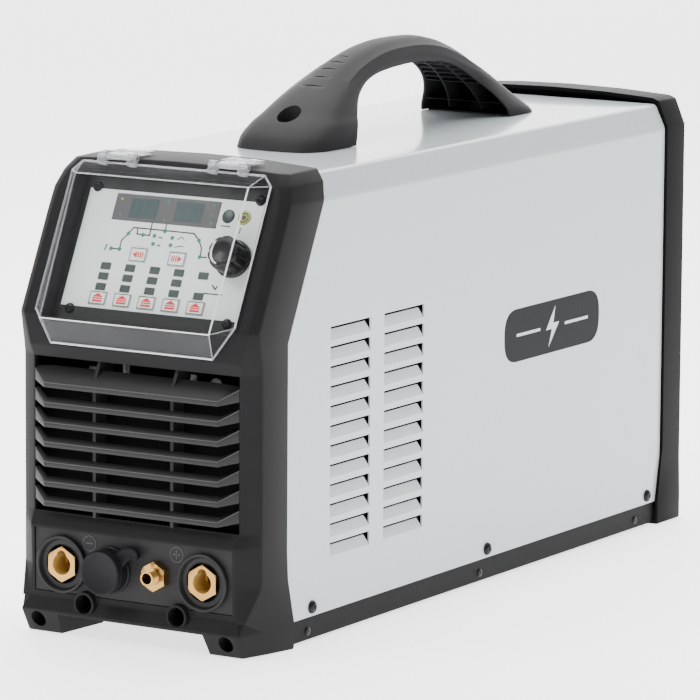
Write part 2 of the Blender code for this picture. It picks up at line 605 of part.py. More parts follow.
gl = lathe(P(-52, 0, 52), (0, 1, 0), [(5.4, 581.5), (9.5, 581.5), (11.0, 577.0), (11.0, 573.0), (15.0, 573.0), (15.0, 566.8),
                                      (12.0, 566.8), (12.0, 550.0), (5.4, 550.0), (5.4, 581.5)], 28)
make("mains_cable_gland", gl, "black_plastic", 35)
gi = cylinder(P(40, 566.8, 52), (0, 1, 0), 10.0, 5.0, 6)
gi = join(gi, cylinder(P(40, 546, 52), (0, 1, 0), 7.0, 21.5, 24), cylinder(P(40, 571.0, 52), (0, 1, 0), 4.6, 11.0, 20, 4.0))
gi = cut(gi, cylinder(P(40, 540, 52), (0, 1, 0), 2.6, 60, 16))
make("gas_inlet_fitting", gi, "brass")
es = join(cylinder(P(0, 550, 40), (0, 1, 0), 4.0, 28.0, 20), cylinder(P(0, 566.8, 40), (0, 1, 0), 7.4, 5.5, 6))
make("earth_stud", es, "steel")

# ------------------------------------------------------------------ fan
ff = box((-71.0, 526.0, FAN_Z - 71.0), (71.0, 560.4, FAN_Z + 71.0))
ff = cut(ff, cylinder(P(0, 500, FAN_Z), (0, 1, 0), 67.0, 90, 40))
hub = cylinder(P(0, 529.0, FAN_Z), (0, 1, 0), 24.0, 5.0, 24)
for a in range(3):
    ang = math.radians(90 + 120 * a)
    mid = box((-3.0, 529.0, FAN_Z), (3.0, 533.0, FAN_Z + 69.0))
    rot = Matrix.Translation(P(0, 0, FAN_Z)) @ Matrix.Rotation(ang, 4, 'Y') @ Matrix.Translation(-P(0, 0, FAN_Z))
    mid.transform(rot)
    clean(mid)
    hub = join(hub, mid)
hub = cut(hub, cylinder(P(0, 500, FAN_Z), (0, 1, 0), 2.8, 60, 24))
ff = join(ff, hub)
make("fan_frame", ff, "black_plastic")

fr = cylinder(P(0, 535.0, FAN_Z), (0, 1, 0), 25.0, 22.0, 28)
for b in range(7):
    a0 = math.tau * b / 7
    secs = []
    for r, chord, pitch in ((22.0, 26.0, 38.0), (44.0, 34.0, 30.0), (64.5, 38.0, 24.0)):
        p = math.radians(pitch)
        loop = []
        for c, t in ((-0.5, 0.0), (0.0, 0.9), (0.5, 0.0), (0.0, -0.9)):
            w, h = c * chord, t
            tang = w * math.cos(p) - h * math.sin(p)
            ax = w * math.sin(p) * 0.62 + h * math.cos(p)
            th = a0 + tang / r
            loop.append((r * math.cos(th), 546.0 + ax, FAN_Z + r * math.sin(th)))
        secs.append(loop)
    fr = join(fr, loft(secs))
fr = join(fr, cylinder(P(0, 527.0, FAN_Z), (0, 1, 0), 2.7, 10.0, 16))
make("fan_rotor", fr, "black_plastic", 30, origin=P(0, 545.0, FAN_Z))


def ring_wire(r, y, n=36, w=1.3):
    cu = bpy.data.curves.new("ring", 'CURVE')
    cu.dimensions = '3D'
    cu.bevel_depth = w * MM
    cu.bevel_resolution = 1
    sp = cu.splines.new('POLY')
    sp.points.add(n - 1)
    for i, p in enumerate(sp.points):
        a = math.tau * i / n
        v = P(r * math.cos(a), y, FAN_Z + r * math.sin(a))
        p.co = (*v, 1)
    sp.use_cyclic_u = True
    ob = cutter(cu)
    me = evaluated(ob)
    bpy.data.objects.remove(ob, do_unlink=True)
    clean(me)
    return me


gd = ring_wire(70.5, 569.4)
spokes = []
for a in range(4):
    ang = math.radians(45 + 90 * a)
    c, s_ = math.cos(ang), math.sin(ang)
    gd = join(gd, cylinder(P(13 * c, 571.0, FAN_Z + 13 * s_), (c, 0, s_), 1.4, 61.5, 8))
gd = join(gd, cylinder(P(0, 570.2, FAN_Z), (0, 1, 0), 15.6, 1.8, 28))
for r in (28.5, 42.0, 56.0):
    gd = join(gd, ring_wire(r, 571.4, 24 if r < 40 else 32))
for a in range(4):
    ang = math.radians(45 + 90 * a)
    c, s_ = math.cos(ang), math.sin(ang)
    gd = join(gd, cylinder(P(73.5 * c, 567.0, FAN_Z + 73.5 * s_), (0, 1, 0), 4.0, 3.6, 12))
make("fan_guard", gd, "steel")

# ------------------------------------------------------------------ handle
# outer and inner arcs of the handle in side view (y, z); half widths along it
# each station: (y outer, z outer), (y inner, z inner), half width
STATIONS = [
    ((131.0, 331.9), (193.0, 331.9), 38.0),
    ((135.5, 338.0), (195.0, 340.5), 37.2),
    ((150.0, 346.5), (199.0, 348.0), 34.5),
    ((171.0, 357.3), (206.0, 355.5), 30.0),
    ((193.0, 368.3), (214.0, 363.0), 25.6),
    ((215.0, 379.0), (226.0, 371.0), 22.6),
    ((236.0, 387.6), (242.0, 376.8), 20.2),
    ((258.0, 394.6), (262.0, 379.8), 19.0),
    ((282.0, 399.4), (283.0, 381.4), 18.3),
    ((305.0, 401.0), (305.0, 382.0), 18.0),
    ((328.0, 400.0), (327.0, 381.2), 18.3),
    ((351.0, 395.4), (349.0, 379.4), 19.0),
    ((373.0, 388.8), (370.0, 372.8), 20.2),
    ((395.0, 379.6), (383.0, 366.0), 22.4),
    ((417.0, 366.8), (394.0, 358.5), 25.6),
    ((437.0, 353.4), (403.0, 351.0), 29.5),
    ((452.0, 343.6), (409.0, 343.0), 34.0),
    ((463.0, 336.8), (413.0, 337.6), 38.5),
    ((468.0, 331.9), (415.0, 331.9), 40.0),
]


def handle_loop(st):
    (yo, zo), (yi, zi), w = st
    d = Vector((yi - yo, zi - zo))
    L = d.length
    rc = min(9.0, w * 0.38, L * 0.42)      # rounding of the upper edges
    fo = rc / L
    half = [(0.0, 0.0), (w - rc, 0.0), (w - rc * 0.3, fo * 0.3), (w, fo), (w, 1.0), (0.0, 1.0)]
    pts = []
    for x, f in half:
        pts.append((x, yo + d.x * f, zo + d.y * f))
    return pts + [(-x, y, z) for x, y, z in reversed(pts[1:-1])]


handle = loft([handle_loop(s) for s in STATIONS])
handle = cut(handle, box((-60, 90, 300), (60, 560, COVER_TOP + 0.35)))
# screw wells, one through each leg
handle = cut(handle, cylinder(P(0, 160.0, 340.0), (0, 0, 1), 8.8, 60.0, 28), cylinder(P(0, 160.0, 325.0), (0, 0, 1), 3.4, 30.0, 16),
             cylinder(P(0, 440.0, 340.0), (0, 0, 1), 8.0, 60.0, 28), cylinder(P(0, 440.0, 325.0), (0, 0, 1), 3.4, 30.0, 16))
make("handle", handle, "charcoal_plastic", 40)
for n, y in (("handle_screw_front", 160.0), ("handle_screw_rear", 440.0)):
    sc = lathe(P(0, y, 340.3), (0, 0, 1), [(0, 4.4), (4.8, 4.2), (5.4, 3.4), (5.4, 0.05), (3.0, 0.05), (3.0, -18.0), (0, -18.0)], 20)
    make(n, sc, "steel_black", 35)

# ------------------------------------------------------------------ inside
make("power_board", box((-88.0, 60.0, 120.0), (-85.6, 430.0, 290.0)), "pcb_green")
hs = box((-40.0, 70.0, 150.0), (40.0, 300.0, 160.0))
for i in range(9):
    x = -36.0 + 9.0 * i
    hs = join(hs, box((x - 1.2, 70.0, 159.0), (x + 1.2, 300.0, 205.0)))
make("heat_sink", hs, "aluminium")
core = cut(box((-50.0, 330.0, 12.0), (50.0, 400.0, 118.0)), box((-24.0, 320.0, 38.0), (24.0, 410.0, 92.0)))
core = join(core, box((-34.0, 322.0, 36.0), (-20.0, 408.0, 94.0), 3.0), box((20.0, 322.0, 36.0), (34.0, 408.0, 94.0), 3.0))
make("main_transformer", core, "copper_coil")
ch = lathe(P(30.0, 200.0, 12.0), (0, 0, 1), [(14.0, 42.0), (34.0, 42.0), (38.0, 38.0), (38.0, 4.0), (34.0, 0.0), (14.0, 0.0), (11.0, 4.0), (11.0, 38.0), (14.0, 42.0)], 32)
make("output_choke", ch, "copper_coil", 40)
gv = join(box((26.0, 470.0, 60.0), (54.0, 520.0, 86.0)), cylinder(P(40.0, 495.0, 85.0), (0, 0, 1), 11.0, 34.0, 20))
make("gas_solenoid_valve", gv, "steel")
hf = box((-60.0, 90.0, 12.0), (-20.0, 170.0, 70.0), 2.0)
make("hf_ignition_unit", hf, "black_plastic")
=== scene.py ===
# Looks of the TIG welding power source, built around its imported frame.
import bpy
import bmesh
import json
import math
from mathutils import Vector, Matrix


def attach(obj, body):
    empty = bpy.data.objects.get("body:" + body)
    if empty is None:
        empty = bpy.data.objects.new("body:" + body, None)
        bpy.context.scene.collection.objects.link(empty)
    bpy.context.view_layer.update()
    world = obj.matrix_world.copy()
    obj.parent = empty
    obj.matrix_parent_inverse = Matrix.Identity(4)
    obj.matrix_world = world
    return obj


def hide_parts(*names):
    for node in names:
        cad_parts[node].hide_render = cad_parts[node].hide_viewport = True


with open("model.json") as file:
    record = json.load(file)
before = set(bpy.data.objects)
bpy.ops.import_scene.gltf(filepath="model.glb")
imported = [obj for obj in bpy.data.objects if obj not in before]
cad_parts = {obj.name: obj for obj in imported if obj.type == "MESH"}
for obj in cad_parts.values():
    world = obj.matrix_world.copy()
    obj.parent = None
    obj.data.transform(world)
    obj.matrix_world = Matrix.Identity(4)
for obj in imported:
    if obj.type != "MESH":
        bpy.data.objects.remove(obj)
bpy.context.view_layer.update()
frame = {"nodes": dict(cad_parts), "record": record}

NODES = frame["nodes"]

OY = -262.5
MM = 0.001
TILT = math.radians(25.98)
PU = Vector((0, math.sin(TILT), math.cos(TILT)))
PN = Vector((0, -math.cos(TILT), math.sin(TILT)))
PANEL_Y, PANEL_Z = -24.4, 233.8
FAN_Z = 205.0
HINGE_S, HINGE_OFF = 107.0, 17.0


def P(x, y, z):
    return Vector((x * MM, (y + OY) * MM, z * MM))


def PP(x, s, off):
    v = Vector((x, PANEL_Y, PANEL_Z)) + PU * s + PN * off
    return P(v.x, v.y, v.z)


# ------------------------------------------------------------------ materials
def material(name, colour, rough=0.5, metal=0.0, grain=0.0, grain_scale=1800.0, tone=0.06, tone_scale=60.0,
             rough_var=0.06, coat=0.0, coat_rough=0.1, spec=0.5, alpha=None, streak=None, wear=0.0, emit=None):
    """Procedural finish: tone variation, roughness variation and a fine bump."""
    m = bpy.data.materials.new(name)
    m.use_nodes = True
    nt = m.node_tree
    b = nt.nodes["Principled BSDF"]
    L = nt.links.new
    tc = nt.nodes.new("ShaderNodeTexCoord")
    src = tc.outputs["Object"]
    if streak:
        mp = nt.nodes.new("ShaderNodeMapping")
        mp.inputs["Scale"].default_value = streak
        L(src, mp.inputs["Vector"])
        src = mp.outputs["Vector"]
    n1 = nt.nodes.new("ShaderNodeTexNoise")
    n1.inputs["Scale"].default_value = tone_scale
    n1.inputs["Detail"].default_value = 4.0
    L(src, n1.inputs["Vector"])
    mix = nt.nodes.new("ShaderNodeMix")
    mix.data_type = 'RGBA'
    mix.inputs[6].default_value = (*[max(0.0, c * (1 - tone)) for c in colour], 1)
    mix.inputs[7].default_value = (*[min(1.0, c * (1 + tone)) for c in colour], 1)
    L(n1.outputs["Fac"], mix.inputs[0])
    col = mix.outputs[2]
    if wear:
        g = nt.nodes.new("ShaderNodeNewGeometry")
        r = nt.nodes.new("ShaderNodeMapRange")
        r.inputs["From Min"].default_value = 0.53
        r.inputs["From Max"].default_value = 0.60
        r.inputs["To Max"].default_value = wear
        L(g.outputs["Pointiness"], r.inputs["Value"])
        w = nt.nodes.new("ShaderNodeMix")
        w.data_type = 'RGBA'
        w.inputs[7].default_value = (*[min(1.0, c * 2.2 + 0.03) for c in colour], 1)
        L(r.outputs["Result"], w.inputs[0])
        L(col, w.inputs[6])
        col = w.outputs[2]
    L(col, b.inputs["Base Color"])
    n2 = nt.nodes.new("ShaderNodeTexNoise")
    n2.inputs["Scale"].default_value = tone_scale * 6
    n2.inputs["Detail"].default_value = 3.0
    L(src, n2.inputs["Vector"])
    mr = nt.nodes.new("ShaderNodeMapRange")
    mr.inputs["To Min"].default_value = max(0.02, rough - rough_var)
    mr.inputs["To Max"].default_value = min(1.0, rough + rough_var)
    L(n2.outputs["Fac"], mr.inputs["Value"])
    L(mr.outputs["Result"], b.inputs["Roughness"])
    if grain:
        n3 = nt.nodes.new("ShaderNodeTexNoise")
        n3.inputs["Scale"].default_value = grain_scale
        n3.inputs["Detail"].default_value = 2.0
        L(src, n3.inputs["Vector"])
        bp = nt.nodes.new("ShaderNodeBump")
        bp.inputs["Strength"].default_value = grain
        bp.inputs["Distance"].default_value = 0.0002
        L(n3.outputs["Fac"], bp.inputs["Height"])
        L(bp.outputs["Normal"], b.inputs["Normal"])
    b.inputs["Metallic"].default_value = metal
    b.inputs["Specular IOR Level"].default_value = spec
    if coat:
        b.inputs["Coat Weight"].default_value = coat
        b.inputs["Coat Roughness"].default_value = coat_rough
    if emit:
        b.inputs["Emission Color"].default_value = (*emit[0], 1)
        b.inputs["Emission Strength"].default_value = emit[1]
    if alpha is not None:
        lw = nt.nodes.new("ShaderNodeLayerWeight")
        lw.inputs["Blend"].default_value = 0.5
        pw = nt.nodes.new("ShaderNodeMath")
        pw.operation = 'POWER'
        pw.inputs[1].default_value = alpha[2]
        L(lw.outputs["Facing"], pw.inputs[0])
        ar = nt.nodes.new("ShaderNodeMapRange")
        ar.inputs["To Min"].default_value = alpha[0]
        ar.inputs["To Max"].default_value = alpha[1]
        L(pw.outputs[0], ar.inputs["Value"])
        L(ar.outputs["Result"], b.inputs["Alpha"])
    return m


M = {
    'bezel': material("moulded_charcoal", (0.0125, 0.0121, 0.0129), 0.54, grain=0.02, grain_scale=900, rough_var=0.02, tone=0.10, spec=0.09),
    # darker copy of the charcoal moulding for the rear bezel: painted shade
    'bezel_rear_shaded': material("moulded_charcoal_rear_painted_shade", (0.0038, 0.0037, 0.0041), 0.54, grain=0.08, grain_scale=2600, tone=0.10, spec=0.06),
    'grille': material("moulded_grille", (0.0150, 0.0145, 0.0152), 0.46, grain=0.10, grain_scale=2600, tone=0.10, spec=0.22),
    # lighter plastic: a painted highlight along the louvre lips, and the polarity marks
    'edge': material("painted_highlight_and_mark_plastic", (0.050, 0.049, 0.051), 0.40, grain=0.05, tone=0.12, tone_scale=200, spec=0.3),
    'handle': material("moulded_handle", (0.0320, 0.0312, 0.0325), 0.54, grain=0.10, grain_scale=2600, tone=0.10, spec=0.08),
    'black': material("satin_black_plastic", (0.0125, 0.0125, 0.0130), 0.42, grain=0.08, tone=0.12, spec=0.2),
    'connector': material("connector_plate", (0.0240, 0.0234, 0.0243), 0.50, grain=0.10, tone=0.1, spec=0.12),
    'rubber': material("black_rubber", (0.0095, 0.0095, 0.0105), 0.58, grain=0.15, grain_scale=1400, tone=0.12, spec=0.12),
    'knob': material("knob_black", (0.006, 0.006, 0.0065), 0.32, grain=0.1, tone=0.1, spec=0.25),
    'paint': material("pale_grey_paint", (0.515, 0.555, 0.570), 0.20, grain=0.05, grain_scale=700, tone=0.012, tone_scale=14, rough_var=0.03, coat=0.35, coat_rough=0.06),
    # lighter copy of the cover paint for the louvre blades: painted highlight on their lit faces
    'paint_blade_lit': material("pale_grey_paint_blades_painted_highlight", (0.62, 0.665, 0.675), 0.26, grain=0.05, grain_scale=700, tone=0.012, tone_scale=14, rough_var=0.03, coat=0.2, coat_rough=0.1),
    'black_paint': material("black_powder_coat", (0.0036, 0.0038, 0.0040), 0.48, grain=0.10, grain_scale=1500, tone=0.1, spec=0.08),
    'brass': material("machined_brass", (0.48, 0.275, 0.085), 0.34, metal=1.0, grain=0.08, grain_scale=1600, tone=0.10, tone_scale=180, rough_var=0.08),
    # lighter, less metallic copy of the brass for the bore walls: painted highlight of the bright gold inside
    'brass_lit_bore': material("brass_bore_painted_highlight", (0.60, 0.40, 0.12), 0.36, metal=0.6, grain=0.08, tone=0.15, tone_scale=180),
    'steel_black': material("black_zinc_steel", (0.0085, 0.0085, 0.0095), 0.32, metal=0.25, grain=0.08, tone=0.15, tone_scale=300, spec=0.25),
    'steel': material("zinc_steel", (0.30, 0.30, 0.31), 0.34, metal=1.0, grain=0.2, tone=0.1, tone_scale=200),
    'face': material("printed_panel_film", (0.74, 0.80, 0.775), 0.42, grain=0.08, grain_scale=2400, tone=0.015, tone_scale=40),
    'strip': material("printed_black_ink", (0.0125, 0.0142, 0.0136), 0.38, grain=0.06, grain_scale=2400, tone=0.05, spec=0.2),
    'ink': material("diagram_ink", (0.018, 0.021, 0.021), 0.5, grain=0.1, tone=0.08),
    'green': material("green_indicator", (0.004, 0.17, 0.115), 0.4, grain=0.05, tone=0.10, tone_scale=400),
    'window_grey': material("tinted_window", (0.046, 0.044, 0.048), 0.34, rough_var=0.01, tone=0.04, tone_scale=20),
    'teal_dark': material("digit_field", (0.0, 0.021, 0.024), 0.30, rough_var=0.01, tone=0.06, tone_scale=40),
    'teal': material("digit_segment", (0.001, 0.036, 0.037), 0.3, rough_var=0.01, tone=0.06, tone_scale=40),
    'led_dark': material("bar_indicator", (0.0085, 0.026, 0.020), 0.35, rough_var=0.02, tone=0.35, tone_scale=160),
    'yellow': material("yellow_indicator", (0.42, 0.40, 0.03), 0.4, grain=0.05, tone=0.08),
    'key': material("key_cap_white", (0.76, 0.78, 0.76), 0.40, grain=0.08, grain_scale=2400, tone=0.015, tone_scale=60),
    'red': material("key_legend_red", (0.62, 0.010, 0.016), 0.42, grain=0.06, tone=0.05),
    'white_mark': material("white_mark", (0.72, 0.72, 0.72), 0.45, grain=0.08, tone=0.04),
    'clear': material("clear_lid_plastic", (0.42, 0.43, 0.44), 0.20, rough_var=0.005, tone=0.01, spec=0.4, alpha=(0.008, 0.10, 2.2)),
    # more opaque clear plastic for the hinge lugs and clips, also for struts that are a painted highlight along the
    # lid's rims
    'clear_edge': material("clear_lid_edge_and_painted_highlight", (0.60, 0.62, 0.63), 0.12, rough_var=0.02, tone=0.05, spec=1.0, alpha=(0.18, 0.72, 1.3)),
    # greyer, more opaque copy of the clear plastic for the lower skirt: painted reflection
    'clear_skirt_reflection': material("clear_lid_skirt_painted_reflection", (0.20, 0.205, 0.21), 0.35, rough_var=0.01, tone=0.25, tone_scale=9, spec=0.25, alpha=(0.07, 0.19, 1.0)),
    # near-opaque white struts: painted highlight along the lid's edges
    'clear_highlight': material("clear_lid_painted_highlight", (0.92, 0.93, 0.93), 0.15, rough_var=0.02, tone=0.03, spec=1.0, alpha=(0.75, 0.95, 1.0)),
    'pcb': material("circuit_board", (0.02, 0.10, 0.05), 0.45, grain=0.3, grain_scale=500, tone=0.35, tone_scale=260),
    'aluminium': material("extruded_aluminium", (0.60, 0.61, 0.62), 0.38, metal=1.0, grain=0.15, tone=0.06, streak=(1, 0.05, 1)),
    'copper': material("enamelled_copper", (0.36, 0.12, 0.04), 0.36, metal=0.7, grain=0.4, grain_scale=700, tone=0.2, tone_scale=300),
    # near-black for the liners inside the vents and grille: painted shade
    'cavity': material("painted_shade_cavity", (0.0030, 0.0030, 0.0032), 0.8, grain=0.2, tone=0.1, spec=0.05),
    'decal': material("decal_black", (0.007, 0.008, 0.0085), 0.5, tone=0.06, grain=0.04, spec=0.08),
    'floor': material("pale_floor", (0.93, 0.93, 0.93), 0.55, tone=0.004, tone_scale=3, rough_var=0.02, spec=0.1, emit=((1.0, 1.0, 1.0), 2.1)),
    'backdrop': material("white_backdrop", (0.9, 0.9, 0.9), 0.6, tone=0.003, tone_scale=2, rough_var=0.02, spec=0.05, emit=((1.0, 1.0, 1.0), 3.4)),
}

SLOT_MAT = {
    'charcoal_plastic': 'bezel', 'black_plastic': 'black', 'rubber_black': 'rubber', 'grey_paint': 'paint',
    'black_paint': 'black_paint', 'brass': 'brass', 'steel_black': 'steel_black', 'steel': 'steel',
    'panel_grey': 'face', 'window_dark': 'window_grey', 'key_white': 'key', 'clear_plastic': 'clear',
    'pcb_green': 'pcb', 'aluminium': 'aluminium', 'copper_coil': 'copper',
}
SLOT_OF = {d["node"]: d["material_slot"] for d in frame["record"]["subparts"]}
for name, ob in NODES.items():
    ob.data.materials.clear()
    ob.data.materials.append(M[SLOT_MAT[SLOT_OF[name]]])
    ob.data.shade_smooth()
    ob.data.set_sharp_from_angle(angle=math.radians(32))


# ------------------------------------------------------------------ mesh tools
def mesh_of(bm, name="m"):
    me = bpy.data.meshes.new(name)
    bm.to_mesh(me)
    bm.free()
    return me


def clean(me):
    bm = bmesh.new()
    bm.from_mesh(me)
    bmesh.ops.remove_doubles(bm, verts=bm.verts, dist=1e-6)
    bmesh.ops.recalc_face_normals(bm, faces=bm.faces)
    bm.to_mesh(me)
    bm.free()
    me.update()


def add(name, me, mat, body="chassis", replaces=(), smooth=32, bevel=None, mats=()):
    ob = bpy.data.objects.new(name, me)
    bpy.context.scene.collection.objects.link(ob)
    me.materials.clear()
    me.materials.append(M[mat])
    for m in mats:
        me.materials.append(M[m])
    if bevel:
        md = ob.modifiers.new("bevel", 'BEVEL')
        md.width = bevel * MM
        md.segments = 2
        md.limit_method = 'ANGLE'
        md.angle_limit = math.radians(28)
        md.harden_normals = False
        dg = bpy.context.evaluated_depsgraph_get()
        new = bpy.data.meshes.new_from_object(ob.evaluated_get(dg))
        ob.modifiers.clear()
        ob.data = new
    ob.data.shade_smooth()
    ob.data.set_sharp_from_angle(angle=math.radians(smooth))
    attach(ob, body)
    if replaces:
        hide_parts(*replaces)
    return ob


def temp(me):
    ob = bpy.data.objects.new("tmp", me)
    bpy.context.scene.collection.objects.link(ob)
    return ob


def evaluated(ob):
    dg = bpy.context.evaluated_depsgraph_get()
    dg.update()
    return bpy.data.meshes.new_from_object(ob.evaluated_get(dg))


def beveled(me, width, segs=2, angle=20):
    ob = temp(me)
    md = ob.modifiers.new("b", 'BEVEL')
    md.width = width * MM
    md.segments = segs
    md.limit_method = 'ANGLE'
    md.angle_limit = math.radians(angle)
    out = evaluated(ob)
    bpy.data.objects.remove(ob, do_unlink=True)
    clean(out)
    return out


def boolean(me, other, op='DIFFERENCE'):
    a, b = temp(me), temp(other)
    m = a.modifiers.new("b", 'BOOLEAN')
    m.operation = op
    m.solver = 'EXACT'
    m.object = b
    out = evaluated(a)
    bpy.data.objects.remove(a, do_unlink=True)
    bpy.data.objects.remove(b, do_unlink=True)
    clean(out)
    return out


def cut(me, *others):
    for o in others:
        me = boolean(me, o)
    return me


def union(me, *others):
    for o in others:
        me = boolean(me, o, 'UNION')
    return me


def merged(*meshes):
    """Several closed meshes in one mesh, as they are."""
    bm = bmesh.new()
    for me in meshes:
        bm.from_mesh(me)
    return mesh_of(bm)


def cube_bm(fn, bevel=0.0, segs=2):
    bm = bmesh.new()
    bmesh.ops.create_cube(bm, size=1.0)
    if bevel:
        pass
    for v in bm.verts:
        v.co = fn(v.co)
    if bevel:
        bmesh.ops.bevel(bm, geom=list(bm.edges), offset=bevel * MM, segments=segs, profile=0.5, affect='EDGES')
    me = mesh_of(bm)
    clean(me)
    return me


def box(lo, hi, bevel=0.0, segs=2):
    a, b = P(*lo), P(*hi)
    return cube_bm(lambda c: Vector([(a[i] + b[i]) / 2 + c[i] * (b[i] - a[i]) for i in range(3)]), bevel, segs)


def pbox(x0, x1, s0, s1, o0, o1, bevel=0.0, segs=2):
    return cube_bm(lambda c: PP((x0 + x1) / 2 + c.x * (x1 - x0), (s0 + s1) / 2 + c.y * (s1 - s0), (o0 + o1) / 2 + c.z * (o1 - o0)), bevel, segs)


def frame_from(origin, axis, xdir=None):
    z = Vector(axis).normalized()
    if xdir is None:
        q = z.to_track_quat('Z', 'Y')
        return Matrix.Translation(origin) @ q.to_matrix().to_4x4()
    x = Vector(xdir)
    x = (x - z * x.dot(z)).normalized()
    y = z.cross(x)
    m = Matrix((x, y, z)).transposed().to_4x4()
    return Matrix.Translation(origin) @ m


def cyl(origin, axis, r, length, segs=40, r2=None):
    bm = bmesh.new()
    bmesh.ops.create_cone(bm, cap_ends=True, segments=segs, radius1=r * MM, radius2=(r if r2 is None else r2) * MM, depth=length * MM)
    bmesh.ops.translate(bm, verts=bm.verts, vec=(0, 0, length * MM / 2))
    bm.transform(frame_from(origin, axis))
    me = mesh_of(bm)
    clean(me)
    return me


def lathe(origin, axis, profile, segs=48):
    """Closed turned solid from a (radius, height) outline in mm."""
    bm = bmesh.new()
    rings = []
    for r, h in profile:
        if r < 1e-6:
            rings.append([bm.verts.new((0, 0, h * MM))])
        else:
            rings.append([bm.verts.new((r * MM * math.cos(math.tau * i / segs), r * MM * math.sin(math.tau * i / segs), h * MM)) for i in range(segs)])
    n = len(rings)
    closed = profile[0] != profile[-1] and profile[0][0] > 1e-6 and profile[-1][0] > 1e-6
    pairs = list(zip(rings, rings[1:])) + ([(rings[-1], rings[0])] if closed else [])
    for a, b in pairs:
        for i in range(segs):
            j = (i + 1) % segs
            q = [a[i % len(a)], a[j % len(a)], b[j % len(b)], b[i % len(b)]]
            u = []
            for v in q:
                if v not in u:
                    u.append(v)
            if len(u) > 2:
                try:
                    bm.faces.new(u)
                except ValueError:
                    pass
    bm.transform(frame_from(origin, axis))
    me = mesh_of(bm)
    clean(me)
    return me


def loft(sections, conv=P, caps=True):
    bm = bmesh.new()
    loops = [[bm.verts.new(conv(*p)) for p in s] for s in sections]
    n = len(loops[0])
    for a, b in zip(loops, loops[1:]):
        for i in range(n):
            j = (i + 1) % n
            bm.faces.new((a[i], a[j], b[j], b[i]))
    if caps:
        bm.faces.new(list(reversed(loops[0])))
        bm.faces.new(loops[-1])
    me = mesh_of(bm)
    clean(me)
    return me


def triangulated(me):
    bm = bmesh.new()
    bm.from_mesh(me)
    bmesh.ops.triangulate(bm, faces=[f for f in bm.faces if len(f.verts) > 4])
    bm.to_mesh(me)
    bm.free()
    return me


def prism(pts, fn, a, b):
    """Outline extruded between a and b; fn(u, v, t) gives the point."""
    bm = bmesh.new()
    l0 = [bm.verts.new(fn(u, v, a)) for u, v in pts]
    l1 = [bm.verts.new(fn(u, v, b)) for u, v in pts]
    n = len(pts)
    for i in range(n):
        j = (i + 1) % n
        bm.faces.new((l0[i], l0[j], l1[j], l1[i]))
    bm.faces.new(list(reversed(l0)))
    bm.faces.new(l1)
    me = mesh_of(bm)
    clean(me)
    return me


AX = lambda u, v, t: P(t, u, v)
AY = lambda u, v, t: P(u, t, v)
AZ = lambda u, v, t: P(u, v, t)
AP = lambda u, v, t: PP(u, v, t)


def rounded(pts, r, n=4):
    """Outline with its corners rounded."""
    out = []
    m = len(pts)
    for i in range(m):
        p0, p, p1 = Vector(pts[i - 1]), Vector(pts[i]), Vector(pts[(i + 1) % m])
        a, b = (p0 - p), (p1 - p)
        la, lb = a.length, b.length
        a.normalize(); b.normalize()
        ang = a.angle(b)
        d = min(r / math.tan(ang / 2), la * 0.45, lb * 0.45)
        s, e = p + a * d, p + b * d
        for k in range(n + 1):
            t = k / n
            out.append(tuple((1 - t) ** 2 * s + 2 * t * (1 - t) * p + t * t * e))
    return out


def rect(x0, x1, s0, s1, r=0.0, n=4):
    pts = [(x0, s0), (x1, s0), (x1, s1), (x0, s1)]
    return rounded(pts, r, n) if r else pts


def screw_mesh(origin, axis, r, h, shank=6.0, up=(0, 0, 1)):
    """Pan head with a cross recess."""
    prof = [(0, h), (r * 0.45, h * 0.97), (r * 0.74, h * 0.80), (r * 0.92, h * 0.52), (r, h * 0.22), (r, 0.02), (r * 0.45, 0.02), (r * 0.45, -shank), (0, -shank)]
    me = lathe(Vector((0, 0, 0)), (0, 0, 1), prof, 32)
    for k in range(2):
        bm = bmesh.new()
        bmesh.ops.create_cube(bm, size=1.0)
        for v in bm.verts:
            taper = 1.0 if v.co.z > 0 else 0.45
            v.co = Vector((v.co.x * r * 1.1 * taper, v.co.y * r * 0.24 * taper, h * 0.28 + (v.co.z + 0.5) * h * 1.2)) * MM
        bm.transform(Matrix.Rotation(math.pi / 2 * k + 0.35, 4, 'Z'))
        c = mesh_of(bm)
        clean(c)
        me = boolean(me, c)
    me.transform(frame_from(origin, axis))
    clean(me)
    return me


# ------------------------------------------------------------------ front bezel
def seam_y(z):
    table = [(0, 6.0), (17, 5.6), (50, 1.4), (71, 0.3), (217.5, 0.3), (314, 47.6), (332, 54.0), (345, 56.0)]
    for (z0, y0), (z1, y1) in zip(table, table[1:]):
        if z <= z1:
            return y0 + (y1 - y0) * (z - z0) / (z1 - z0)
    return table[-1][1]


BEZEL = [
    (0.0, 103.2, (97.2, -19.5), (90.6, -41.5)),
    (17.5, 104.0, (98.0, -22.0), (92.0, -49.6)),
    (26.0, 103.2, (94.0, -44.9), (85.5, -44.2)),
    (50.0, 101.0, (100.0, -32.4), (85.6, -44.3)),
    (71.0, 100.5, (100.0, -32.4), (85.7, -44.7)),
    (78.0, 100.5, (100.0, -32.4), (85.9, -45.4)),
    (87.0, 100.5, (100.0, -32.4), (86.6, -40.0)),
    (199.2, 100.5, (100.0, -32.4), (86.6, -40.0)),
    (207.0, 100.5, (100.0, -33.4), (88.0, -42.6)),
    (217.5, 100.5, (100.0, -35.3), (90.8, -42.1)),
    (229.0, 100.5, (100.0, -37.3), (93.8, -41.6)),
    (300.0, 100.5, (99.8, -2.7), (93.3, -7.0)),
    (314.0, 100.3, (99.3, 4.1), (92.6, -0.2)),
    (326.0, 97.0, (95.3, 11.0), (88.5, 6.4)),
]


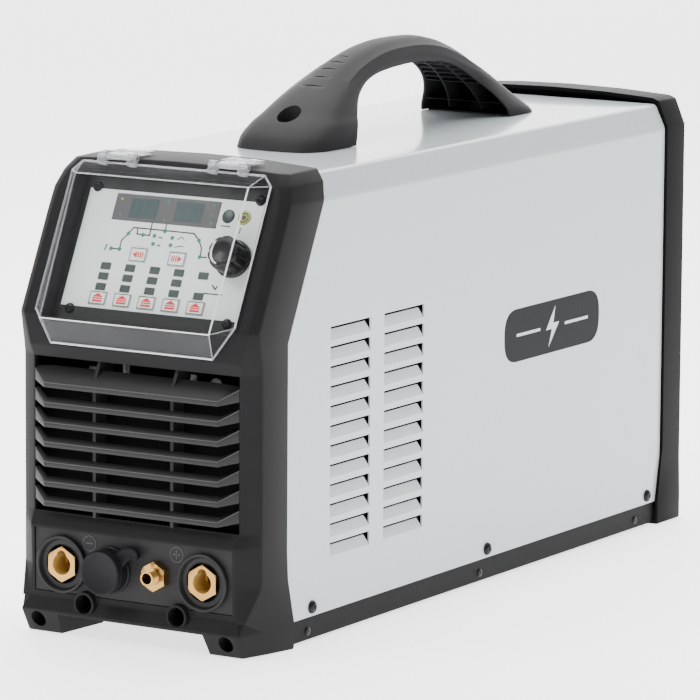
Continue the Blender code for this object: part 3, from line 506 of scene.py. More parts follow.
def bezel_sections(inset=0.0, zmin=None, rear=None):
    out = []
    for z, rx, (bx, by), (fx, fy) in BEZEL:
        if zmin is not None and z < zmin - 0.01:
            continue
        ry = seam_y(z) if rear is None else rear
        half = [(0, ry, z), (45, ry, z), (rx - inset, ry, z), (bx - inset, by + 0.6 * inset, z),
                (fx - 0.6 * inset, fy + inset, z), (45, fy + inset, z), (0, fy + inset, z)]
        out.append(half + [(-x, y, zz) for x, y, zz in reversed(half[1:-1])])
    return out


def bezel_top(inset=0.0, rear=None):
    ry = 54.0 if rear is None else rear
    half = [(0, ry, 338.6 - inset), (45, ry, 337.8 - inset), (90.5 - inset, ry, 334.6 - inset), (89.6 - inset, 17.5 + inset, 334.0 - inset),
            (82.5 - inset, 13.0 + inset, 334.6 - inset), (45, 12.6 + inset, 336.4 - inset), (0, 12.4 + inset, 337.0 - inset)]
    return half + [(-x, y, zz) for x, y, zz in reversed(half[1:-1])]


def dense(sections, lo=0.0):
    """Returns the sections as they are; no in-between loops are added."""
    return sections


outer = beveled(loft(bezel_sections() + [bezel_top()]), 1.3, 3, 13)
triangulated(outer)
inner = triangulated(loft(bezel_sections(3.0, zmin=26.0, rear=90.0) + [bezel_top(3.0, rear=90.0)]))
bezel = cut(outer, inner)
bezel = union(bezel, pbox(-82.6, 82.6, -15.6, 105.0, -3.2, 10.0))
bezel = cut(bezel, prism(rect(-79.5, 79.5, -12.5, 101.9, 3.0), AP, -30.0, 40.0))
# chamfer around the recess mouth
def frustum(o0, o1, e0, e1):
    a = [PP(x, s, o0) for x, s in rect(-79.5 - e0, 79.5 + e0, -12.5 - e0, 101.9 + e0, 3.0 + e0)]
    b = [PP(x, s, o1) for x, s in rect(-79.5 - e1, 79.5 + e1, -12.5 - e1, 101.9 + e1, 3.0 + e1)]
    return loft([a, b], conv=lambda *p: Vector(p))
bezel = cut(bezel, frustum(11.2, 14.2, 0.0, 3.0))
bezel = cut(bezel, box((-86.1, -60, 87.6), (86.1, -20, 198.7)))
bezel = cut(bezel, prism(rect(-83.4, 83.4, 30.4, 76.2, 1.2), AY, -60, -34))
for sx in (-1, 1):
    bezel = union(bezel, cyl(P(sx * 39.1, -48.4, 25.2), (0, 1, 0), 8.5, 9.0, 40))
for sx in (-1, 1):
    bezel = cut(bezel, cyl(P(sx * 39.1, -60, 25.2), (0, 1, 0), 6.8, 40.0, 40), cyl(P(sx * 79.1, -60, 10.0), (0, 1, 0), 5.9, 28.0, 32))
bezel = cut(bezel, loft([[(-66.7, -80, -2), (66.7, -80, -2), (57.0, 30, -2), (-57.0, 30, -2)],
                         [(-63.6, -80, 15.2), (63.6, -80, 15.2), (55.0, 30, 15.2), (-55.0, 30, 15.2)]]))
add("bezel_shell", bezel, 'bezel', replaces=["front_bezel"], smooth=24)

# ------------------------------------------------------------------ louvre grille
def louvre(z0, back=-43.6, rise=3.3):
    """Fin with a sloping top, and ends that sweep back to the frame while they grow taller."""
    secs = []
    for x, yf, zt, zb, yr, zr in ((-85.9, -39.9, 8.2, -0.8, -36.0, 9.4), (-72.8, -48.0, 0.0, -4.0, back, rise),
                                  (72.8, -48.0, 0.0, -4.0, back, rise), (85.9, -39.9, 8.2, -0.8, -36.0, 9.4)):
        secs.append([(x, yf, z0 + zb), (x, yf, z0 + zt), (x, yr, z0 + zr), (x, yr, z0 + zr - 1.8), (x, yf + 2.6, z0 + zb + 0.6)])
    return beveled(loft(secs), 0.5, 2, 25)


fins = [louvre(96.3 + 14.22 * i) for i in range(6)] + [louvre(96.3 + 14.22 * 6, -36.5, 10.8)]
for sx in (-1, 1):
    fins.append(prism([(-44.0, 87.4), (-22.0, 87.4), (-22.0, 198.9), (-37.0, 198.9), (-44.0, 184.0)], AX, sx * 32.6 - 1.3, sx * 32.6 + 1.3))
# painted highlight: lighter struts along the top front edge of each fin stand in for the glint there
lips = []
for i in range(7):
    z0 = 96.3 + 14.22 * i - 0.25
    path = [P(-85.7, -39.9, z0 + 8.1), P(-72.8, -47.75, z0), P(72.8, -47.75, z0), P(85.7, -39.9, z0 + 8.1)]
    for a, b in zip(path, path[1:]):
        lips.append(cyl(a, (b - a).normalized(), 0.42, (b - a).length / MM, 8))
add("louvre_painted_highlight_edges", merged(*lips), 'edge', smooth=40)
add("louvre_fins", merged(*fins), 'grille', replaces=["front_louvre_grille"], smooth=30)

# ------------------------------------------------------------------ connector panel
cp = prism(rect(-83.0, 83.0, 30.8, 75.8, 1.0), AY, -43.6, -40.6)
for sx in (-1, 1):
    cp = cut(cp, cyl(P(sx * 39.1, -60, 25.2), (0, 1, 0), 8.8, 40.0, 40), cyl(P(sx * 59.3, -60, 51.4), (0, 1, 0), 16.4, 40.0, 40))
cp = cut(cp, cyl(P(-19.0, -60, 51.5), (0, 1, 0), 12.4, 40.0, 32), cyl(P(20.5, -60, 52.0), (0, 1, 0), 6.4, 40.0, 32))
marks = []
for sx in (-1, 1):
    marks.append(lathe(P(sx * 36.7, 0, 68.7), (0, -1, 0), [(5.1, 43.5), (5.1, 43.95), (5.7, 43.95), (5.7, 43.5)], 40))
    marks.append(box((sx * 36.7 - 3.1, -43.95, 68.3), (sx * 36.7 + 3.1, -43.5, 69.1)))
marks.append(box((36.7 - 0.4, -43.95, 65.6), (36.7 + 0.4, -43.5, 71.8)))
add("connector_plate", cp, 'connector', replaces=["connector_panel"], smooth=30)
add("polarity_marks", merged(*marks), 'edge')

for name, node, sx in (("socket_ring_negative", "socket_housing_negative", -1), ("socket_ring_positive", "socket_housing_positive", 1)):
    prof = [(13.65, 44.6), (14.4, 44.0), (17.2, 44.2), (18.0, 45.4), (18.3, 46.9), (18.9, 47.5), (20.2, 47.5), (20.7, 47.0), (20.7, 43.95),
            (16.0, 43.95), (16.0, 12.0), (13.65, 12.0)]
    add(name, lathe(P(sx * 59.3, 0, 51.4), (0, -1, 0), prof, 64), 'black', replaces=[node], smooth=35)
for name, node, sx in (("brass_insert_negative", "socket_insert_negative", -1), ("brass_insert_positive", "socket_insert_positive", 1)):
    X0 = sx * 59.3
    hexa = cyl(P(X0, -46.2, 51.4), (0, 1, 0), 13.05, 40.0, 6)
    # chamfered hexagon face
    hexa = boolean(hexa, lathe(P(X0, 0, 51.4), (0, -1, 0), [(0, 46.3), (11.9, 46.3), (13.3, 45.5), (13.3, 0), (0, 0)], 48), 'INTERSECT')
    hexa = cut(hexa, cyl(P(X0, -50, 51.4), (0, 1, 0), 7.1, 34.0, 48), cyl(P(X0, -50, 51.4 + 6.3), (0, 1, 0), 3.9, 32.0, 36))
    hexa = cut(hexa, lathe(P(X0, 0, 51.4), (0, -1, 0), [(0, 47), (8.0, 47), (7.0, 45.2), (0, 45.2)], 48))
    hob = add(name, hexa, 'brass', replaces=[node], smooth=30)
    # the bore walls and key slot take the lighter brass copy: painted highlight
    hob.data.materials.append(M['brass_lit_bore'])
    for f in hob.data.polygons:
        dx, dz = f.center.x / MM - X0, f.center.z / MM - 51.4
        if abs(f.normal.y) < 0.5 and (math.hypot(dx, dz) < 7.5 or (abs(dx) < 4.2 and 0 < dz < 10.4)):
            f.material_index = 1
    rid = [box((X0 + 1.5, -40.0, 51.4 + 2.2), (X0 + 4.9, -22.0, 51.4 + 4.8), 0.4),
           lathe(P(X0, 0, 51.4), (0, -1, 0), [(6.0, 30.0), (7.0, 30.0), (7.0, 27.5), (6.0, 27.5)], 40)]
    add(name.replace("insert", "key"), merged(*rid), 'brass')

# control socket and dust cap
cs = lathe(P(-19.0, 0, 51.5), (0, -1, 0),
           [(0, 53.4), (10.6, 53.4), (10.9, 53.0), (10.9, 50.4), (10.5, 50.1), (10.5, 49.4), (10.9, 49.1), (10.9, 48.2), (10.5, 47.9), (10.5, 47.0), (10.9, 46.7),
            (10.9, 46.4), (16.5, 46.4), (17.0, 45.9), (17.0, 43.95), (12.0, 43.95), (12.0, 24.0), (0, 24.0)], 56)
add("control_socket_shell", cs, 'black', replaces=["control_socket"], smooth=35)
cap = lathe(P(-19.0, 0, 51.5), (0, -1, 0),
            [(0, 57.6), (13.2, 57.6), (13.8, 58.0), (15.3, 58.0), (15.95, 57.2), (15.95, 54.6), (15.3, 54.2), (15.3, 53.6), (15.95, 53.2), (15.95, 48.0), (15.4, 47.4), (15.4, 46.8),
             (11.4, 46.8), (11.4, 54.0), (0, 54.0)], 64)
# curved pull tab
tab = []
for k in range(11):
    t = k / 10
    cx = -19.0 + 10.0 * (1 - t) ** 2 + 2 * 18.5 * t * (1 - t) + 27.5 * t * t
    cz = 51.5 + 7.0 * (1 - t) ** 2 + 2 * 19.5 * t * (1 - t) + 12.6 * t * t
    tx, tz = 2 * (8.5 * (1 - t) + 9.0 * t), 2 * (12.5 * (1 - t) - 6.9 * t)
    tl = math.hypot(tx, tz)
    nx, nz = -tz / tl, tx / tl
    w = (5.6 - 2.0 * t) * (1.0 if t < 0.85 else math.sqrt(max(0.12, 1 - ((t - 0.85) / 0.16) ** 2)))
    yc = -49.6 + 0.8 * math.sin(math.pi * t)
    tab.append([(cx + nx * w, yc - 2.0, cz + nz * w), (cx + nx * w * 0.7, yc - 2.7, cz + nz * w * 0.7), (cx, yc - 2.0, cz), (cx - nx * w * 0.7, yc - 2.7, cz - nz * w * 0.7), (cx - nx * w, yc - 2.0, cz - nz * w),
                (cx - nx * w, yc + 1.6, cz - nz * w), (cx, yc + 2.0, cz), (cx + nx * w, yc + 1.6, cz + nz * w)])
tabm = beveled(loft(tab), 0.5, 2, 30)
add("dust_cap_rubber", merged(cap, tabm), 'rubber', body="cap", replaces=["dust_cap"], smooth=40)

# shielding gas outlet
hexg = cyl(P(20.5, -50.0, 52.0), (0, 1, 0), 10.8, 6.05, 6)
hexg = boolean(hexg, lathe(P(20.5, 0, 52.0), (0, -1, 0), [(0, 50.0), (9.7, 50.0), (10.9, 49.3), (10.9, 43.0), (0, 43.0)], 48), 'INTERSECT')
prof = [(4.0, 57.5), (5.2, 57.5), (5.7, 57.0)]
h = 56.6
while h > 50.6:
    prof += [(5.7, h), (5.25, h - 0.4), (5.25, h - 0.6), (5.7, h - 1.0)]
    h -= 1.2
prof += [(5.2, 50.0), (5.2, 18.0), (4.0, 18.0)]
noz = lathe(P(20.5, 0, 52.0), (0, -1, 0), prof, 48)
hexg = cut(hexg, cyl(P(20.5, -60, 52.0), (0, 1, 0), 5.25, 40, 40))
add("gas_outlet_brass", merged(hexg, noz), 'brass', replaces=["gas_outlet_fitting"], smooth=35)

# ------------------------------------------------------------------ control panel printing
def flat(pts, o0, o1):
    return prism(pts, AP, o0, o1)


def dot(x, s, r, o0=0.0, o1=0.14, n=20):
    return flat([(x + r * math.cos(math.tau * i / n), s + r * math.sin(math.tau * i / n)) for i in range(n)], o0, o1)


def line(p, q, w=1.0, o0=0.0, o1=0.12):
    a, b = Vector(p), Vector(q)
    d = (b - a).normalized()
    nrm = Vector((-d.y, d.x)) * w / 2
    a = a - d * w / 2
    b = b + d * w / 2
    return flat([tuple(a + nrm), tuple(a - nrm), tuple(b - nrm), tuple(b + nrm)], o0, o1)


strips = [flat([(-78.9, -11.9), (78.9, -11.9), (78.9, 0.0), (-78.9, 0.0)], 0.0, 0.14),
          flat([(-78.9, 88.0), (78.9, 88.0), (78.9, 101.3), (-78.9, 101.3)], 0.0, 0.14),
          flat([(-78.9, 0.0), (-74.4, 0.0), (-74.4, 88.0), (-78.9, 88.0)], 0.0, 0.14),
          flat([(74.6, 0.0), (78.9, 0.0), (78.9, 88.0), (74.6, 88.0)], 0.0, 0.14)]
add("panel_border_ink", merged(*strips), 'strip')
pts = [(-44.6, 44.5), (-37.4, 44.6), (-37.6, 50.9), (-33.3, 56.6), (-30.0, 61.3), (20.6, 61.0), (26.1, 56.3), (29.7, 51.0), (30.7, 44.2), (35.4, 44.5)]
diagram = [line(a, b) for a, b in zip(pts, pts[1:])]
box_pts = [(-26.6, 61.2), (-26.1, 56.8), (-15.5, 56.5), (-15.8, 66.1)]
diagram += [line(a, b) for a, b in zip(box_pts, box_pts[1:])]
diagram += [line((-3.6, 66.1), (-3.6, 60.7))]
# plain tick marks beside the indicators
diagram += [line((-49.6, 43.2), (-48.8, 47.0), 1.0), line((-7.2, 55.6), (-4.6, 55.6), 0.9), line((-7.0, 49.9), (-4.8, 49.9), 0.9),
            line((8.4, 55.4), (11.6, 57.6), 0.6), line((11.6, 57.6), (14.2, 55.4), 0.6), line((8.0, 49.6), (11.4, 50.8), 0.6), line((11.4, 50.8), (14.4, 50.8), 0.6),
            line((41.4, 68.4), (48.6, 68.4), 0.8), line((55.2, 68.0), (55.2, 64.0), 0.7), line((57.4, 68.0), (57.4, 64.0), 0.7),
            line((46.5, 24.6), (49.4, 22.0), 1.1), line((49.4, 22.0), (50.4, 24.2), 0.9), line((41.0, 18.4), (55.6, 18.4), 0.9)]
add("panel_diagram_ink", merged(*diagram), 'ink')
dots = [dot(x, s, 1.55, 0.0, 0.22) for x, s in [(-44.6, 44.5), (-37.4, 44.6), (-33.3, 56.6), (-21.0, 56.5), (-3.6, 60.7), (26.1, 56.3), (30.2, 44.3), (-11.3, 56.5), (-10.8, 50.6), (3.8, 56.3), (3.8, 50.8)]]
add("panel_indicator_dots", merged(*dots), 'green')
bars = []
for x in (-45.0, -24.5, -3.8, 16.6):
    for s in (31.3, 23.7, 15.9):
        bars.append(flat(rect(x - 4.2, x + 4.2, s - 2.7, s + 2.7, 0.6, 2), 0.0, 0.22))
for s in (30.9, 15.7):
    bars.append(flat(rect(37.2 - 4.2, 37.2 + 4.2, s - 2.7, s + 2.7, 0.6, 2), 0.0, 0.22))
add("panel_bar_indicators", merged(*bars), 'led_dark')
# display
add("display_cover", flat(rect(-50.4, 36.9, 66.2, 85.5, 2.6, 5), -0.9, 0.34), 'window_grey', replaces=["display_window"])
add("display_fields", merged(flat(rect(-37.0, -13.8, 68.5, 83.3, 0.4, 2), 0.30, 0.42), flat(rect(0.8, 24.2, 68.5, 83.3, 0.4, 2), 0.30, 0.42)), 'teal_dark')


def digit(x, s, w=4.6, h=9.4, t=0.95, slant=0.10):
    out = []
    def seg(a, b):
        pa = (x + a[0] * w + a[1] * h * slant, s + a[1] * h)
        pb = (x + b[0] * w + b[1] * h * slant, s + b[1] * h)
        va, vb = Vector(pa), Vector(pb)
        d = (vb - va).normalized()
        va, vb = va + d * t * 0.62, vb - d * t * 0.62
        out.append(line(tuple(va), tuple(vb), t, 0.40, 0.50))
    for a, b in (((0, 0), (1, 0)), ((0, .5), (1, .5)), ((0, 1), (1, 1)), ((0, 0), (0, .5)), ((1, 0), (1, .5)), ((0, .5), (0, 1)), ((1, .5), (1, 1))):
        seg(a, b)
    return out


segs = []
for x0 in (-36.0, 1.8):
    for k in range(3):
        segs += digit(x0 + 7.0 * k + 0.6, 71.2)
add("display_segments", merged(*segs), 'teal')
leds = [dot(x, s, 0.9, 0.3, 0.46, 12) for x, s in [(-44.0, 70.0), (-6.7, 82.4), (-6.6, 68.4), (31.6, 82.4), (32.5, 75.1), (32.3, 69.8)]]
add("display_lamps", merged(*leds), 'green')
add("display_lamp_yellow", dot(-45.5, 81.6, 0.9, 0.3, 0.46, 12), 'yellow')
add("status_lamp_green", lathe(PP(45.2, 75.7, 0), PN, [(0, 0.7), (3.6, 0.7), (4.4, 0.5), (5.1, 0.2), (5.1, 0.0), (0, 0.0)], 40), 'led_dark')
ringm = [lathe(PP(58.4, 75.7, 0), PN, [(0, 0.45), (5.1, 0.3), (5.1, 0.0), (0, 0.0)], 40)]
add("status_lamp_dark", merged(*ringm), 'led_dark')
add("status_lamp_yellow", merged(lathe(PP(58.4, 75.7, 0), PN, [(3.9, 0.62), (4.9, 0.55), (4.9, 0.3), (3.9, 0.3)], 40),
                                 lathe(PP(58.4, 75.7, 0), PN, [(1.9, 0.62), (2.7, 0.62), (2.7, 0.3), (1.9, 0.3)], 32)), 'yellow')

# key legends
KEYS = [("key_select_1", -44.7, 7.3), ("key_select_2", -24.3, 7.2), ("key_select_3", -3.7, 7.1), ("key_select_4", 16.5, 7.0), ("key_select_5", 37.3, 6.9)]
for n, x, s in KEYS:
    frame_ = merged(*[line(a, b, 0.55, 0.9, 1.0) for a, b in (((x - 6.5, s - 4.3), (x + 6.5, s - 4.3)), ((x + 6.5, s - 4.3), (x + 6.5, s + 4.3)),
                                                             ((x + 6.5, s + 4.3), (x - 6.5, s + 4.3)), ((x - 6.5, s + 4.3), (x - 6.5, s - 4.3)))])
    add(n + "_outline", frame_, 'ink', body="body_" + n)
    red = [flat([(x - 4.4, s + 0.6), (x + 4.4, s + 0.6), (x, s + 3.6)], 0.9, 1.02),
           flat([(x - 4.0, s - 0.9), (x + 4.0, s - 0.9), (x + 4.0, s + 0.1), (x - 4.0, s + 0.1)], 0.9, 1.02),
           flat([(x - 4.0, s - 3.0), (x + 4.0, s - 3.0), (x + 4.0, s - 1.5), (x - 4.0, s - 1.5)], 0.9, 1.02)]
    add(n + "_legend", merged(*red), 'red', body="body_" + n)
for n, x, s, dr in (("key_previous", -20.4, 41.5, -1), ("key_next", 12.2, 41.0, 1)):
    frame_ = merged(*[line(a, b, 0.55, 0.9, 1.0) for a, b in (((x - 6.4, s - 4.6), (x + 6.4, s - 4.6)), ((x + 6.4, s - 4.6), (x + 6.4, s + 4.6)),
                                                             ((x + 6.4, s + 4.6), (x - 6.4, s + 4.6)), ((x - 6.4, s + 4.6), (x - 6.4, s - 4.6)))])
    add(n + "_outline", frame_, 'ink', body="body_" + n)
    red = [flat([(x + dr * 0.8, s - 2.4), (x + dr * 4.6, s), (x + dr * 0.8, s + 2.4)][::dr], 0.9, 1.02)]
    for k in range(3):
        xx = x - dr * (0.4 + 1.7 * k)
        red.append(flat([(xx - 0.5, s - 2.0), (xx + 0.5, s - 2.0), (xx + 0.5, s + 2.0), (xx - 0.5, s + 2.0)], 0.9, 1.02))
    add(n + "_legend", merged(*red), 'red', body="body_" + n)

for n, x, s in (("panel_screw_1", -68.4, 89.2), ("panel_screw_2", 68.4, 89.2), ("panel_screw_3", -66.0, -2.2), ("panel_screw_4", 66.0, -2.2)):
    add(n + "_head", screw_mesh(PP(x, s, 0.14), PN, 3.9, 2.4), 'steel_black', replaces=[n], smooth=40)

# knob
KX, KS = 59.0, 44.7
segs_n = 96
prof = [(0, 18.2), (5.2, 18.2), (6.2, 18.6), (8.6, 18.9), (10.6, 18.4), (11.9, 17.2), (12.5, 15.4), (12.7, 12.0), (12.9, 4.0), (13.2, 3.6), (13.9, 3.0), (13.9, 1.0), (3.0, 1.0), (3.0, 3.0), (0, 3.0)]
bm = bmesh.new()
rings = []
for r, hgt in prof:
    if r == 0:
        rings.append([bm.verts.new((0, 0, hgt * MM))])
        continue
    ring = []
    for i in range(segs_n):
        a = math.tau * i / segs_n
        rr = r
        if r > 8 and 3.8 < hgt < 18.7:
            c = max(0.0, math.cos(a * 10))
            rr = r - 1.35 * (c ** 1.5) * (1.0 if hgt < 17 else 0.6)
        ring.append(bm.verts.new((rr * MM * math.cos(a), rr * MM * math.sin(a), hgt * MM)))
    rings.append(ring)
for a, b in zip(rings, rings[1:]):
    for i in range(segs_n):
        j = (i + 1) % segs_n
        q = []
        for v in (a[i % len(a)], a[j % len(a)], b[j % len(b)], b[i % len(b)]):
            if v not in q:
                q.append(v)
        bm.faces.new(q)
bm.transform(frame_from(PP(KX, KS, 0), PN, (1, 0, 0)))
km = mesh_of(bm)
clean(km)
add("knob_grip", km, 'knob', body="knob", replaces=["encoder_knob"], smooth=38)
ind = []
ctrl = [(-6.6, 7.0), (-8.1, 3.0), (-8.3, -1.4), (-7.2, -5.0), (-4.9, -7.8), (-2.2, -9.2)]
crv = [(KX + a, KS + b) for a, b in ctrl]
hts = [17.4, 17.9, 18.1, 18.2, 18.1, 17.8]
ind = [prism([tuple(Vector(p) + Vector((0.0, 0.0))) for p in [(crv[i][0] - 0.7, crv[i][1] - 0.3), (crv[i][0] + 0.7, crv[i][1] + 0.3), (crv[i + 1][0] + 0.7, crv[i + 1][1] + 0.3), (crv[i + 1][0] - 0.7, crv[i + 1][1] - 0.3)]],
             AP, 17.0, 19.15) for i in range(len(crv) - 1)]
add("knob_index_line", merged(*ind), 'white_mark', body="knob")

# ------------------------------------------------------------------ clear lid
FRONT = [(-71.5, -18.9, 26.3), (71.5, -18.9, 26.3), (73.4, 90.5, 26.3), (-73.4, 90.5, 26.3)]
BASE_R = [(68.5, -31.7, 9.4), (84.2, -9.2, 15.6), (84.2, 96.0, 15.1), (77.0, 103.6, 15.0)]
bm = bmesh.new()
fv = [bm.verts.new(PP(*p)) for p in FRONT]
br = [bm.verts.new(PP(*p)) for p in BASE_R]
bl = [bm.verts.new(PP(-x, s, o)) for x, s, o in BASE_R]
for q in (fv, (fv[1], fv[2], br[2], br[1]), (fv[3], fv[0], bl[1], bl[2]), (fv[0], fv[1], br[0], bl[0]), (fv[2], fv[3], bl[3], br[3]),
          (fv[1], br[1], br[0]), (fv[0], bl[0], bl[1]), (fv[2], br[3], br[2]), (fv[3], bl[2], bl[3])):
    bm.faces.new(q)
bmesh.ops.recalc_face_normals(bm, faces=bm.faces)
lm = mesh_of(bm)
ob = temp(lm)
so = ob.modifiers.new("solid", 'SOLIDIFY')
so.thickness = 1.8 * MM
so.offset = -1.0
so.use_even_offset = True
lid = evaluated(ob)
bpy.data.objects.remove(ob, do_unlink=True)
clean(lid)
lid = beveled(lid, 0.35, 2, 12)
lid_ob = add("lid_shell", lid, 'clear', body="lid", replaces=["clear_lid"], smooth=14)
# the lower skirt faces take the greyer clear copy: painted reflection
lid_ob.data.materials.append(M['clear_skirt_reflection'])
low_n = ((PP(*FRONT[1]) - PP(*FRONT[0])).cross(PP(*BASE_R[0]) - PP(*FRONT[0]))).normalized()
for f in lid_ob.data.polygons:
    if abs(f.normal.dot(low_n)) > 0.95 and f.area > 2e-4:
        f.material_index = 1
HC = PP(0, HINGE_S, HINGE_OFF)
HY, HZ = HC.y / MM - OY, HC.z / MM
# painted highlight: lighter, more opaque struts along the rim of the skirt and the moulded edges of the front face
def strut(a, b, w=0.55):
    return cyl(a, (b - a).normalized(), w, (b - a).length / MM, 10)
rim = []
outl = [PP(*p) for p in BASE_R] + [PP(-x, s, o) for x, s, o in reversed(BASE_R)]
ctr = PP(0, 40, 20)
for a, b in zip(outl, outl[1:] + outl[:1]):
    rim.append(strut(a + (ctr - a).normalized() * 0.0011, b + (ctr - b).normalized() * 0.0011, 0.75))
edge = []
ff = [PP(*p) for p in FRONT]
for a, b in list(zip(ff, ff[1:] + ff[:1]))[2:]:
    edge.append(strut(a + (ctr - a).normalized() * 0.0009, b + (ctr - b).normalized() * 0.0009, 0.5))
for a, b in ((ff[1], outl[0]), (ff[1], outl[1]), (ff[2], outl[2]), (ff[2], outl[3]), (ff[0], outl[7]), (ff[0], outl[6]), (ff[3], outl[5]), (ff[3], outl[4])):
    edge.append(strut(a + (ctr - a).normalized() * 0.0009, b + (ctr - b).normalized() * 0.0009, 0.35))
lugs = []
for x in (-59.0, -34.0, 34.0, 59.0):
    lug = union(pbox(x - 3.0, x + 3.0, 101.0, HINGE_S + 0.5, HINGE_OFF - 2.6, HINGE_OFF + 2.6), cyl(P(x - 3.0, HY, HZ), (1, 0, 0), 3.4, 6.0, 28))
    lug = cut(lug, cyl(P(x - 6, HY, HZ), (1, 0, 0), 1.28, 12.0, 16))
    lugs.append(beveled(lug, 0.3, 2, 30))
# painted highlight: near-opaque white struts along the lid's front edges and skirt rim
hot = [strut(a + (ctr - a).normalized() * 0.0009, b + (ctr - b).normalized() * 0.0009, w) for a, b, w in ((ff[1], ff[2], 0.62), (ff[0], ff[1], 0.42))]
for a, b in ((outl[7], outl[0]), (outl[1], outl[2])):
    hot.append(strut(a + (ctr - a).normalized() * 0.0011, b + (ctr - b).normalized() * 0.0011, 0.62))
add("lid_painted_highlight_edges", merged(*hot), 'clear_highlight', body="lid", smooth=35)
add("lid_rim_edges", merged(*rim, *edge, *lugs), 'clear_edge', body="lid", smooth=35)
for n, x in (("hinge_clip_left", -46.5), ("hinge_clip_right", 46.5)):
    foot = box((x - 14.0, 17.0, 337.9), (x + 14.0, 33.0, 340.2), 0.6)
    arm = prism([(17.5, 337.9), (17.5, 340.2), (HY + 1, HZ + 2.4), (HY - 1.8, HZ + 1.8), (HY - 2.5, HZ), (HY - 1.8, HZ - 1.8), (HY + 1.5, HZ - 2.4), (HY + 5.0, HZ + 0.4)], AX, x - 8.6, x + 8.6)
    arm = cut(arm, cyl(P(x - 20, HY, HZ), (1, 0, 0), 1.28, 40.0, 16))
    arm = beveled(arm, 0.35, 2, 30)
    studs = [cyl(P(x + dx, 25.0, 340.1), (0, 0, 1), 3.0, 0.9, 24) for dx in (-9.0, 9.0)]
    ribs = [box((x - 12.0, 19.5, 340.0), (x + 12.0, 20.4, 340.9), 0.2)]
    add(n + "_clear", merged(foot, arm, *studs, *ribs), 'clear_edge', replaces=[n], smooth=35)

# ------------------------------------------------------------------ cover
def cover_outline(r_top=2.6):
    o = [(100.0, 18.4), (100.0, 314.0), (91.4, 332.0), (-91.4, 332.0), (-100.0, 314.0), (-100.0, 18.4)]
    out = []
    for i, p in enumerate(o):
        if i in (0, 5):
            out.append(p)
            continue
        p0, p1 = Vector(o[i - 1]), Vector(o[i + 1])
        v = Vector(p)
        a, b = (p0 - v).normalized(), (p1 - v).normalized()
        d = 3.0
        for k in range(6):
            t = k / 5
            q = (1 - t) ** 2 * (v + a * d) + 2 * t * (1 - t) * v + t * t * (v + b * d)
            out.append(tuple(q))
    return out


oo = cover_outline()
ii = [(x * (100.0 - 1.2) / 100.0 if abs(z) < 318 else x * 0.987, z - (1.2 if z > 320 else 0.0)) for x, z in oo]
shell = prism(oo + list(reversed(ii)), AY, -5.0, 553.0)
front = [(-20.0, 10.0)] + [(seam_y(z) + 0.4, z) for z in (10, 17, 50, 71, 217.5, 314, 332)] + [(seam_y(332) + 0.4, 350.0), (-20.0, 350.0)]
cover = cut(shell, prism(front, AX, -120, 120))
VT = [(222.1, 57.0, 111.2), (222.1, 130.4, 185.6)]
bm = bmesh.new()
blades = []
for z_top, y0, y1 in VT:
    for i in range(12):
        z1 = z_top - 14.11 * i
        for sx in (-1, 1):
            a = P(sx * 96 if sx > 0 else -104, y0, z1 - 9.6)
            b = P(sx * 104 if sx > 0 else -96, y1, z1)
            r = bmesh.ops.create_cube(bm, size=1.0)
            for v in r["verts"]:
                v.co = Vector([(a[k] + b[k]) / 2 + v.co[k] * (b[k] - a[k]) for k in range(3)])
            bl_ = prism([(sx * 100.0, z1 - 9.65), (sx * 99.4, z1 - 8.2), (sx * 98.3, z1 - 5.2), (sx * 97.1, z1 - 2.3), (sx * 96.1, z1 - 2.5),
                         (sx * 97.2, z1 - 5.6), (sx * 98.2, z1 - 8.4), (sx * 98.7, z1 - 9.7)], AY, y0 + 0.25, y1 - 0.25)
            # the rear end of each blade leans back towards its foot
            mid = P(0, (y0 + y1) / 2, 0).y
            for v in bl_.vertices:
                if v.co.y > mid:
                    v.co.y -= 0.0033 * max(0.0, (v.co.z / MM - (z1 - 9.65)) / 7.3)
            blades.append(bl_)
slots = mesh_of(bm)
clean(slots)
cover = cut(cover, slots)
ob = add("cover_sheet", cover, 'paint', replaces=["cover"], smooth=30)
# the louvre blades take the lighter copy of the cover paint, a painted highlight
add("cover_louvre_blades", merged(*blades), 'paint_blade_lit', smooth=30)
# painted shade: inner dark liners make the vents read as openings to a dark inside
for k, y in enumerate([33.7, 281.2, 532.2]):
    for side, sx in (("left", -1), ("right", 1)):
        n = "cover_screw_%s_%d" % (side, k + 1)
        add(n + "_head", screw_mesh(P(sx * 100.05, y, 25.0), (sx, 0, 0), 4.8, 2.8), 'steel_black', replaces=[n], smooth=40)

# decal: plain rounded plate with two slanted bars
def side_plate(pts, x0, x1):
    return prism(pts, AX, x0, x1)


for side, sx in (("right", 1), ("left", -1)):
    a, b = (100.02, 100.16) if sx > 0 else (-100.16, -100.02)
    add("side_decal_" + side, side_plate(rounded([(304.0, 160.5), (450.0, 160.5), (450.0, 200.5), (304.0, 200.5)], 20.0, 10), a, b), 'decal')
    a, b = (100.14, 100.24) if sx > 0 else (-100.24, -100.14)
    bolt = [(381.0, 196.0), (367.0, 178.5), (376.0, 178.5), (371.0, 165.0), (387.0, 183.0), (378.0, 183.0)]
    wave = [side_plate([(y0, 179.4), (y1, 179.4), (y1, 181.6), (y0, 181.6)], a, b) for y0, y1 in ((322.0, 358.0), (396.0, 432.0))]
    add("side_decal_sign_" + side, merged(side_plate(bolt, a, b), *wave), 'paint')

# recessed rail screws
rails = []
for y in (28.8, 271.1, 513.6):
    for sx in (-1, 1):
        rails.append(screw_mesh(P(sx * 99.65, y, 8.5), (sx, 0, 0), 3.2, 1.0, shank=0.5))
add("rail_screws", merged(*rails), 'steel_black', smooth=40)

